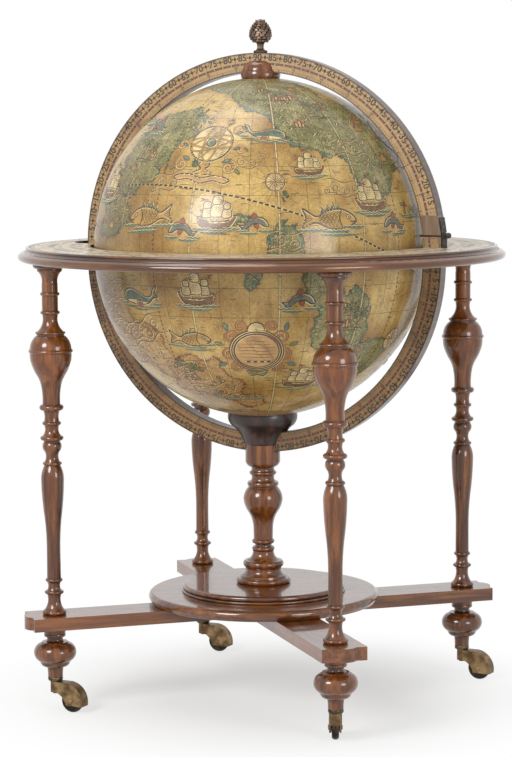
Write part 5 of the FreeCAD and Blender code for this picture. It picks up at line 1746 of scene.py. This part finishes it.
class Numerals:
    """Numbers cut as flat meshes, one for each wording."""

    def __init__(self) -> None:
        """Starts with no numbers cut."""
        self.cut: dict[str, bpy.types.Mesh] = {}

    def mesh(self, wording: str) -> bpy.types.Mesh:
        """Gives a number as a mesh 1 unit high, its middle at the origin.

        Args:
            wording: The number.

        Returns:
            The mesh.
        """
        if wording not in self.cut:
            text = bpy.data.curves.new(f"numeral_{wording}", "FONT")
            text.body = wording
            text.align_x = "CENTER"
            text.align_y = "CENTER"
            text.resolution_u = 3
            text.offset = 0.018
            holder = shown(f"numeral_{wording}", text)
            bpy.context.view_layer.update()
            graph = bpy.context.evaluated_depsgraph_get()
            self.cut[wording] = bpy.data.meshes.new_from_object(holder.evaluated_get(graph))
            bpy.data.objects.remove(holder)
        return self.cut[wording]

    @staticmethod
    def spot(angle: float, out: float) -> Matrix:
        """A place on a circle, whose own up points outwards."""
        return Matrix.Rotation(math.radians(angle - 90.0), 4, "Z") @ Matrix.Translation((0.0, out, 0.0))

    def ring(
        self, mesh: BMesh, plan: Sequence[tuple[str, float]], out: float, height: float,
        seat: Matrix,
    ) -> None:
        """Sets numbers round a circle, their tops outwards.

        Args:
            mesh: The mesh that they join.
            plan: Wordings and their angles in degrees, counterclockwise from the right.
            out: The circle's radius.
            height: The numbers' height.
            seat: The circle's own frame.
        """
        for wording, angle in plan:
            first = len(mesh.verts)
            mesh.from_mesh(self.mesh(wording))
            mesh.verts.ensure_lookup_table()
            place = seat @ self.spot(angle, out) @ Matrix.Scale(height, 4)
            bmesh.ops.transform(mesh, matrix=place, verts=mesh.verts[first:])


@dataclass(frozen=True)
class NumeralInk(Finish):
    """Black printing ink, a little worn."""

    black: Colour = tone(46, 33, 24)
    worn: Colour = tone(112, 86, 58)

    def make(self) -> Material:
        """Builds the material.

        Returns:
            The material.
        """
        sheet = self.sheet()
        rub = sheet.noise(sheet.place(), 260.0, 3.0, 0.6)
        colour = sheet.mix(rub.ease(0.52, 0.82), self.black, self.worn)
        return sheet.surface(Base_Color=colour, Roughness=0.45 + 0.15 * rub)


@dataclass
class Meridian:
    """The printed scales on both faces of the upright ring, and its numbers."""

    inner: float = 0.312
    outer: float = 0.346
    half_thickness: float = 0.013
    proud: float = 0.0003
    border: float = 0.0006
    upper_level: float = 0.816
    lower_level: float = 0.794
    steps: int = 120
    block_margin: float = 0.03
    degrees_in: float = 0.0085
    degrees_high: float = 0.0165
    hours_out: float = 0.0094
    hours_high: float = 0.0062
    lozenges: tuple[Point, ...] = ((1.6, 0.0016), (2.5, 0.0034), (3.4, 0.0016))

    def build(self, numerals: Numerals, ink: Material) -> None:
        """Lays the papers and the numbers on the upper and the lower half.

        Args:
            numerals: The cutter of numbers.
            ink: The numbers' finish.
        """
        for half, body, level, paper, pale, angles in (
            ("upper", "lid", self.upper_level, tone(142, 110, 64), tone(180, 147, 94), range(15, 180, 5)),
            # The lower half's paper is darker than the upper's: painted shade below the horizon ring.
            ("lower", "stand", self.lower_level, tone(112, 82, 42), tone(150, 115, 64), range(185, 360, 5)),
        ):
            print_name = f"{half}_meridian_print"
            finish = ScalePrint(print_name, MERIDIAN_ROWS, self.inner, paper, pale, level).make()
            for side, facing in (("front", -1.0), ("back", 1.0)):
                band = self.band(f"{half}_meridian_{side}_scale", facing, level, half == "upper")
                if half == "upper":
                    self.trim(band.mesh)
                else:
                    self.rise(band.mesh)
                band.face(Vector((0.0, facing, 0.0)))
                band.deliver(body, "printed_paper", [finish])
                self.numbers(f"{half}_meridian_{side}_numbers", body, facing, level, angles, numerals, ink)

    def band(self, name: str, facing: float, level: float, upper: bool) -> Workpiece:
        """Sweeps the width of the scale through half a turn.

        Args:
            name: The piece's name.
            facing: -1 for the front face and 1 for the back.
            level: The height of the ring's centre.
            upper: True for the half above the centre.

        Returns:
            The band.
        """
        work = Workpiece(name)
        mesh = work.mesh
        depth = facing * (self.half_thickness + self.proud)
        ends = (self.inner + self.border, self.outer - self.border)
        start = [mesh.verts.new((out, depth, level)) for out in ends]
        edge = mesh.edges.new(start)
        bmesh.ops.spin(
            mesh, geom=[*start, edge], cent=(0.0, 0.0, level), axis=(0.0, -1.0 if upper else 1.0, 0.0),
            angle=math.pi, steps=self.steps)
        return work

    def trim(self, mesh: BMesh) -> None:
        """Cuts the upper band off level above the hinge block.

        Args:
            mesh: The band.
        """
        low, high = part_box("hinge_block")
        start = low.x - self.block_margin
        faces = [face for face in mesh.faces if face.calc_center_median().x > start]
        parts = {part for face in faces for part in (*face.verts, *face.edges)}
        bmesh.ops.bisect_plane(
            mesh, geom=[*parts, *faces], plane_co=(start, 0.0, high.z), plane_no=-UP, clear_outer=True)

    def rise(self, mesh: BMesh) -> None:
        """Carries the ends of the lower band straight up to the ends of the wood.

        Args:
            mesh: The band.
        """
        _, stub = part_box("lower_meridian")
        lid_end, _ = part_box("upper_meridian")
        for sign, top in ((1.0, stub.z), (-1.0, lid_end.z - self.border)):
            ends = [
                edge for edge in mesh.edges
                if all(abs(v.co.z - self.lower_level) < 1e-6 and v.co.x * sign > 0.0 for v in edge.verts)
            ]
            grown = bmesh.ops.extrude_edge_only(mesh, edges=ends)["geom"]
            verts = [part for part in grown if isinstance(part, bmesh.types.BMVert)]
            bmesh.ops.translate(mesh, verts=verts, vec=UP * (top - self.lower_level))

    def numbers(
        self, name: str, body: str, facing: float, level: float, angles: range, numerals: Numerals,
        ink: Material,
    ) -> None:
        """Prints the degrees along the outer ring and small ones along the inner ring.

        Args:
            name: The piece's name.
            body: The body that it rides on.
            facing: -1 for the front face and 1 for the back.
            level: The height of the ring's centre.
            angles: Where the large numbers stand.
            numerals: The cutter of numbers.
            ink: Their finish.
        """
        work = Workpiece(name)
        upright = Matrix.Rotation(math.radians(90.0), 4, "X")
        turned = Matrix.Rotation(math.radians(180.0), 4, "Z") if facing > 0.0 else Matrix.Identity(4)
        depth = facing * (self.half_thickness + 2.0 * self.proud)
        seat = Matrix.Translation((0.0, depth, level)) @ turned @ upright
        large = [(str(90 - abs(90 - angle % 180)), angle) for angle in angles]
        hours = [(str(angle % 180 // 5 + 1), angle + 2.5) for angle in angles]
        if facing > 0.0:
            large, hours = ([(wording, 180 - angle) for wording, angle in plan] for plan in (large, hours))
        middle = self.outer - self.degrees_in
        numerals.ring(work.mesh, large, middle, self.degrees_high, seat)
        numerals.ring(work.mesh, hours[::2], self.inner + self.hours_out, self.hours_high, seat)
        for _, angle in large:
            for gap, radius in self.lozenges:
                place = seat @ numerals.spot(angle + gap, middle)
                bmesh.ops.create_circle(work.mesh, cap_ends=True, segments=4, radius=radius, matrix=place)
        work.face(Vector((0.0, facing, 0.0)))
        work.deliver(body, "printed_paper", [ink])


@dataclass
class HingePlates:
    """The parts of the two hinge leaves that lie in the joint under the hinge block."""

    play: float = 0.0002

    def build(self, finish: Material) -> None:
        """Lays one plate on the stub and one under the block, with a little play between them.

        Args:
            finish: Their finish.
        """
        stub_low, stub_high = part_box("lower_meridian")
        block_low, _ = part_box("hinge_block")
        middle = (stub_high.z + block_low.z) / 2.0
        for node, body, low, high in (
            ("hinge_leaf_fixed", "stand", stub_high.z, middle - self.play),
            ("hinge_leaf_lid", "lid", middle + self.play, block_low.z),
        ):
            work = Workpiece(f"{node}_plate")
            size = Vector((stub_high.x - block_low.x, stub_high.y - stub_low.y, high - low))
            centre = Vector(((stub_high.x + block_low.x) / 2.0, 0.0, (low + high) / 2.0))
            bmesh.ops.create_cube(work.mesh, size=1.0, matrix=Matrix.LocRotScale(centre, None, size))
            work.deliver(body, "dark_iron", [finish])


@dataclass
class HingeScrews:
    """The slotted screws that hold the two hinge leaves."""

    leaf: float = 0.0025
    knuckle: float = 0.0053
    head: float = 0.0026
    dome: float = 0.0007
    dome_share: float = 0.72
    slot: float = 0.0007
    segments: int = 20
    places: tuple[Point, ...] = ((0.006, -0.0065), (0.006, 0.0065), (0.017, 0.0))
    turns: tuple[float, ...] = (25.0, 110.0, 62.0)

    def screw(self, mesh: BMesh, seat: Matrix) -> None:
        """Sets one screw head, as the two halves on either side of its slot.

        Args:
            mesh: The mesh to add it to.
            seat: Its place, with the head's axis along Z.
        """
        earlier = set(mesh.verts)
        for side in (-1.0, 1.0):
            before = set(mesh.verts)
            bmesh.ops.create_cone(
                mesh, cap_ends=True, segments=self.segments, radius1=self.head,
                radius2=self.dome_share * self.head, depth=self.dome,
                matrix=Matrix.Translation(UP * self.dome / 2.0))
            verts = [vert for vert in mesh.verts if vert not in before]
            edges = list({edge for vert in verts for edge in vert.link_edges})
            faces = list({face for vert in verts for face in vert.link_faces})
            cut = bmesh.ops.bisect_plane(
                mesh, geom=verts + edges + faces, plane_co=(0.0, side * self.slot / 2.0, 0.0),
                plane_no=(0.0, -side, 0.0), clear_outer=True)
            rim = [part for part in cut["geom_cut"] if isinstance(part, bmesh.types.BMEdge)]
            bmesh.ops.edgeloop_fill(mesh, edges=rim)
        fresh = [vert for vert in mesh.verts if vert not in earlier]
        bmesh.ops.transform(mesh, matrix=seat, verts=fresh)

    def build(self, finish: Material) -> None:
        """Sets three screws in each leaf, square to its plate.

        Args:
            finish: Their finish.
        """
        for node, body, rises in (("hinge_leaf_fixed", "stand", False), ("hinge_leaf_lid", "lid", True)):
            low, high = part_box(node)
            pin_low, pin_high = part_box("hinge_pin")
            axis = (pin_low + pin_high) / 2.0
            level = high.z if rises else low.z
            tip = Vector((low.x + self.leaf, 0.0, level))
            root = Vector((axis.x - self.knuckle + self.leaf, 0.0, axis.z))
            along = (root - tip).normalized()
            out = Vector((0.0, 1.0, 0.0)).cross(along)
            out = out if out.x > 0.0 else -out
            work = Workpiece(f"{node}_screws")
            for (inward, aside), turn in zip(self.places, self.turns):
                seat = Matrix.Translation(tip + along * inward + Vector((0.0, aside, 0.0)))
                facing = out.to_track_quat("Z", "Y").to_matrix().to_4x4()
                self.screw(work.mesh, seat @ facing @ Matrix.Rotation(math.radians(turn), 4, "Z"))
            bmesh.ops.recalc_face_normals(work.mesh, faces=work.mesh.faces[:])
            work.deliver(body, "dark_iron", [finish])


@dataclass
class HandNotch:
    """The half-round opening in the ring and its paper, where a hand reaches under the lid's meridian."""

    centre: float = -0.308
    reach: float = 0.064
    margin: float = 0.001
    segments: int = 96
    crease: float = 62.0
    steep: float = 0.5

    def cutter(self, low: float, high: float) -> bpy.types.Object:
        """Makes the round bar that the opening is cut with.

        Args:
            low: The lowest level to cut.
            high: The highest level to cut.

        Returns:
            The bar.
        """
        mesh = bmesh.new()
        bmesh.ops.create_cone(
            mesh, cap_ends=True, segments=self.segments, radius1=self.reach, radius2=self.reach,
            depth=2.0 * (high - low), matrix=Matrix.Translation((self.centre, 0.0, (low + high) / 2.0)))
        return shown("notch_cutter", mesh_data("notch_cutter", mesh))

    def cut(self, node: bpy.types.Object, name: str, slot: str, wall: Material) -> None:
        """Cuts the opening out of a copy of a solid, which then stands for it.

        Args:
            node: The solid's object, with its finish on.
            name: The solid's name.
            slot: The record's material slot.
            wall: The finish of the opening's wall, a nearly black painted shade.
        """
        low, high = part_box(name)
        copy = bmesh.new()
        copy.from_mesh(node.data)
        bmesh.ops.remove_doubles(copy, verts=copy.verts[:], dist=1e-6)
        blank = shown(f"{name}_blank", mesh_data(f"{name}_blank", copy))
        cutter = self.cutter(low.z, high.z)
        cut = blank.modifiers.new("notch", "BOOLEAN")
        cut.object = cutter
        cut.operation = "DIFFERENCE"
        cut.solver = "EXACT"
        graph = bpy.context.evaluated_depsgraph_get()
        notched = bpy.data.meshes.new_from_object(blank.evaluated_get(graph))
        work = Workpiece(f"{name}_notched")
        work.mesh.from_mesh(notched)
        for spare in (blank, cutter):
            bpy.data.objects.remove(spare)
        axis = Vector((self.centre, 0.0))
        # Faces of the opening's wall take the nearly black finish: painted shade.
        for face in work.mesh.faces:
            near = (face.calc_center_median().xy - axis).length < self.reach + self.margin
            upright = abs(face.normal.z) < self.steep
            face.material_index = 1 if near and upright else 0
        piece = work.deliver("stand", slot, [node.material_slots[0].material, wall], [name], self.crease)
        even = piece.modifiers.new("even_shading", "WEIGHTED_NORMAL")
        even.keep_sharp = True


@dataclass
class Horizon:
    """The printed sheet on the horizon ring, with its numbers."""

    inner: float = 0.308
    proud: float = 0.0003
    notch_angle: int = 180
    degrees_out: float = 0.0185
    days_out: float = 0.0530
    hours_out: float = 0.0925
    large: float = 0.012
    small: float = 0.010

    def clear(self, step: int) -> list[int]:
        """Angles at every step in degrees, but for those at the hand notch."""
        return [angle for angle in range(step, 360, step) if abs(angle - self.notch_angle) > step]

    def build(self, node: bpy.types.Object, numerals: Numerals, ink: Material) -> None:
        """Prints the sheet and sets its numbers.

        Args:
            node: The sheet's object.
            numerals: The cutter of numbers.
            ink: The numbers' finish.
        """
        paper = ScalePrint(
            "horizon_print", HORIZON_ROWS, self.inner, tone(190, 173, 141), tone(214, 200, 170),
            upright=False)
        Stand.paint(node, paper.make())
        _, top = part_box("horizon_paper")
        work = Workpiece("horizon_numbers")
        seat = Matrix.Translation((0.0, 0.0, top.z + self.proud))
        degrees = [(str(angle), angle) for angle in self.clear(10)]
        days = [(str(angle % 30 + 5 if angle % 30 else 30), angle) for angle in self.clear(5)]
        hours = [(str(index + 1), 15 * index + 7.5) for index in range(24)]
        for plan, out, height in (
            (degrees, self.degrees_out, self.large),
            (days, self.days_out, self.small),
            (hours, self.hours_out, self.large),
        ):
            numerals.ring(work.mesh, plan, self.inner + out, height, seat)
        work.face(UP)
        work.deliver("stand", "printed_paper", [ink])


@dataclass
class Finial:
    """The cone on the top, with overlapping scales."""

    rings: int = 9
    scale_spacing: float = 0.0016
    fewest: int = 5
    core_share: float = 0.88
    core_steps: int = 32
    lowest: float = 0.06
    span: float = 0.84
    scale_wide: float = 0.56
    scale_thick: float = 0.0021
    scale_tall: float = 0.86
    sunk: float = 0.0012
    pinch: float = 0.55
    lean: float = 0.35
    profile: tuple[Point, ...] = (
        (0.0, 0.0120), (0.14, 0.0180), (0.28, 0.0204), (0.50, 0.0192), (0.72, 0.0146), (0.90, 0.0085),
        (1.0, 0.0025),
    )

    def radius(self, share: float) -> float:
        """The cone's radius at a share of its height.

        Args:
            share: 0 at the foot and 1 at the tip.

        Returns:
            The radius.
        """
        for (low, here), (high, there) in zip(self.profile, self.profile[1:]):
            if share <= high:
                return here + (there - here) * (share - low) / (high - low)
        return self.profile[-1][1]

    def build(self, finish: Material) -> None:
        """Makes the core and lays the scales on it in staggered rings.

        Args:
            finish: Their finish.
        """
        low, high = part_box("finial_cone")
        tall = high.z - low.z
        work = Workpiece("finial_cone_scales")
        mesh = work.mesh
        core = [
            mesh.verts.new((out * self.core_share, 0.0, low.z + tall * share)) for share, out in self.profile
        ]
        ends = [mesh.verts.new((0.0, 0.0, core[0].co.z)), mesh.verts.new((0.0, 0.0, core[-1].co.z))]
        chain = [ends[0], *core, ends[1]]
        edges = [mesh.edges.new(pair) for pair in zip(chain, chain[1:])]
        bmesh.ops.spin(
            mesh, geom=[*chain, *edges], cent=(0.0, 0.0, 0.0), axis=(0.0, 0.0, 1.0), angle=2.0 * math.pi,
            steps=self.core_steps, use_merge=True)
        bmesh.ops.remove_doubles(mesh, verts=mesh.verts[:], dist=1e-6)
        bmesh.ops.recalc_face_normals(mesh, faces=mesh.faces[:])
        for ring in range(self.rings):
            share = self.lowest + self.span * ring / (self.rings - 1)
            out = self.radius(share)
            count = max(self.fewest, round(out / self.scale_spacing))
            for index in range(count):
                angle = 2.0 * math.pi * (index + 0.5 * (ring % 2)) / count
                wide = 2.0 * math.pi * out / count
                self.scale(mesh, out, low.z + tall * share, angle, wide, tall / self.rings)
        work.deliver("lid", "brass", [finish], ["finial_cone"])

    def scale(
        self, mesh: BMesh, out: float, level: float, angle: float, wide: float, tall: float
    ) -> None:
        """Lays one pointed scale on the cone.

        Args:
            mesh: The mesh that it joins.
            out: How far its middle is from the axis.
            level: The height of its middle.
            angle: Where it stands round the axis, in radians.
            wide: Its width.
            tall: The height of one ring of scales.
        """
        made = bmesh.ops.create_icosphere(mesh, subdivisions=1, radius=1.0)["verts"]
        for vert in made:
            pinch = 1.0 - self.pinch * max(0.0, vert.co.z)
            vert.co.x *= pinch
            vert.co.y = vert.co.y * pinch + self.lean * vert.co.z
        size = Matrix.Diagonal((wide * self.scale_wide, self.scale_thick, tall * self.scale_tall, 1.0))
        place = Matrix.Rotation(angle, 4, "Z") @ Matrix.Translation((out - self.sunk, 0.0, level))
        bmesh.ops.transform(
            mesh, matrix=place @ Matrix.Rotation(math.radians(-90.0), 4, "Z") @ size, verts=made)


def main() -> None:
    """Builds and dresses every sub-assembly."""
    logging.basicConfig(level=logging.INFO, format="%(message)s")
    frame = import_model()
    bpy.context.scene.view_settings.view_transform = "Standard"
    low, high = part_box("lower_shell")
    lid_low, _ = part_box("upper_shell")
    radius = high.z - low.z
    middle = (high.z + lid_low.z) / 2.0
    Studio(middle).build()
    Stand().dress(frame["nodes"])
    chart = ChartPrint("printed_chart", middle).make()
    Globe(radius).build(chart, ShellLining("shell_lining").make())
    halves = {"upper": ("lid", lid_low.z), "lower": ("stand", high.z)}
    Engraving(radius).build(halves, PrintedInk("printed_ink").make())
    numerals = Numerals()
    number_ink = NumeralInk("number_ink").make()
    Meridian().build(numerals, number_ink)
    HingePlates().build(BlackIron("joint_iron").make())
    screw_metal = AgedBrass("screw_metal", tone(120, 108, 92), tone(74, 66, 56), tone(28, 25, 22)).make()
    HingeScrews().build(screw_metal)
    Horizon().build(frame["nodes"]["horizon_paper"], numerals, number_ink)
    # The opening's wall is nearly black: painted shade.
    notch_shade = Ebonized("notch_painted_shade", tone(20, 15, 14), tone(40, 29, 25)).make()
    for name, slot in (("horizon_ring", "walnut"), ("horizon_paper", "printed_paper")):
        HandNotch().cut(frame["nodes"][name], name, slot, notch_shade)
    bronze = AgedBrass("bronzed_cone", tone(140, 120, 104), tone(84, 68, 58), tone(34, 27, 24)).make()
    Finial().build(bronze)


if __name__ == "__main__":
    main()
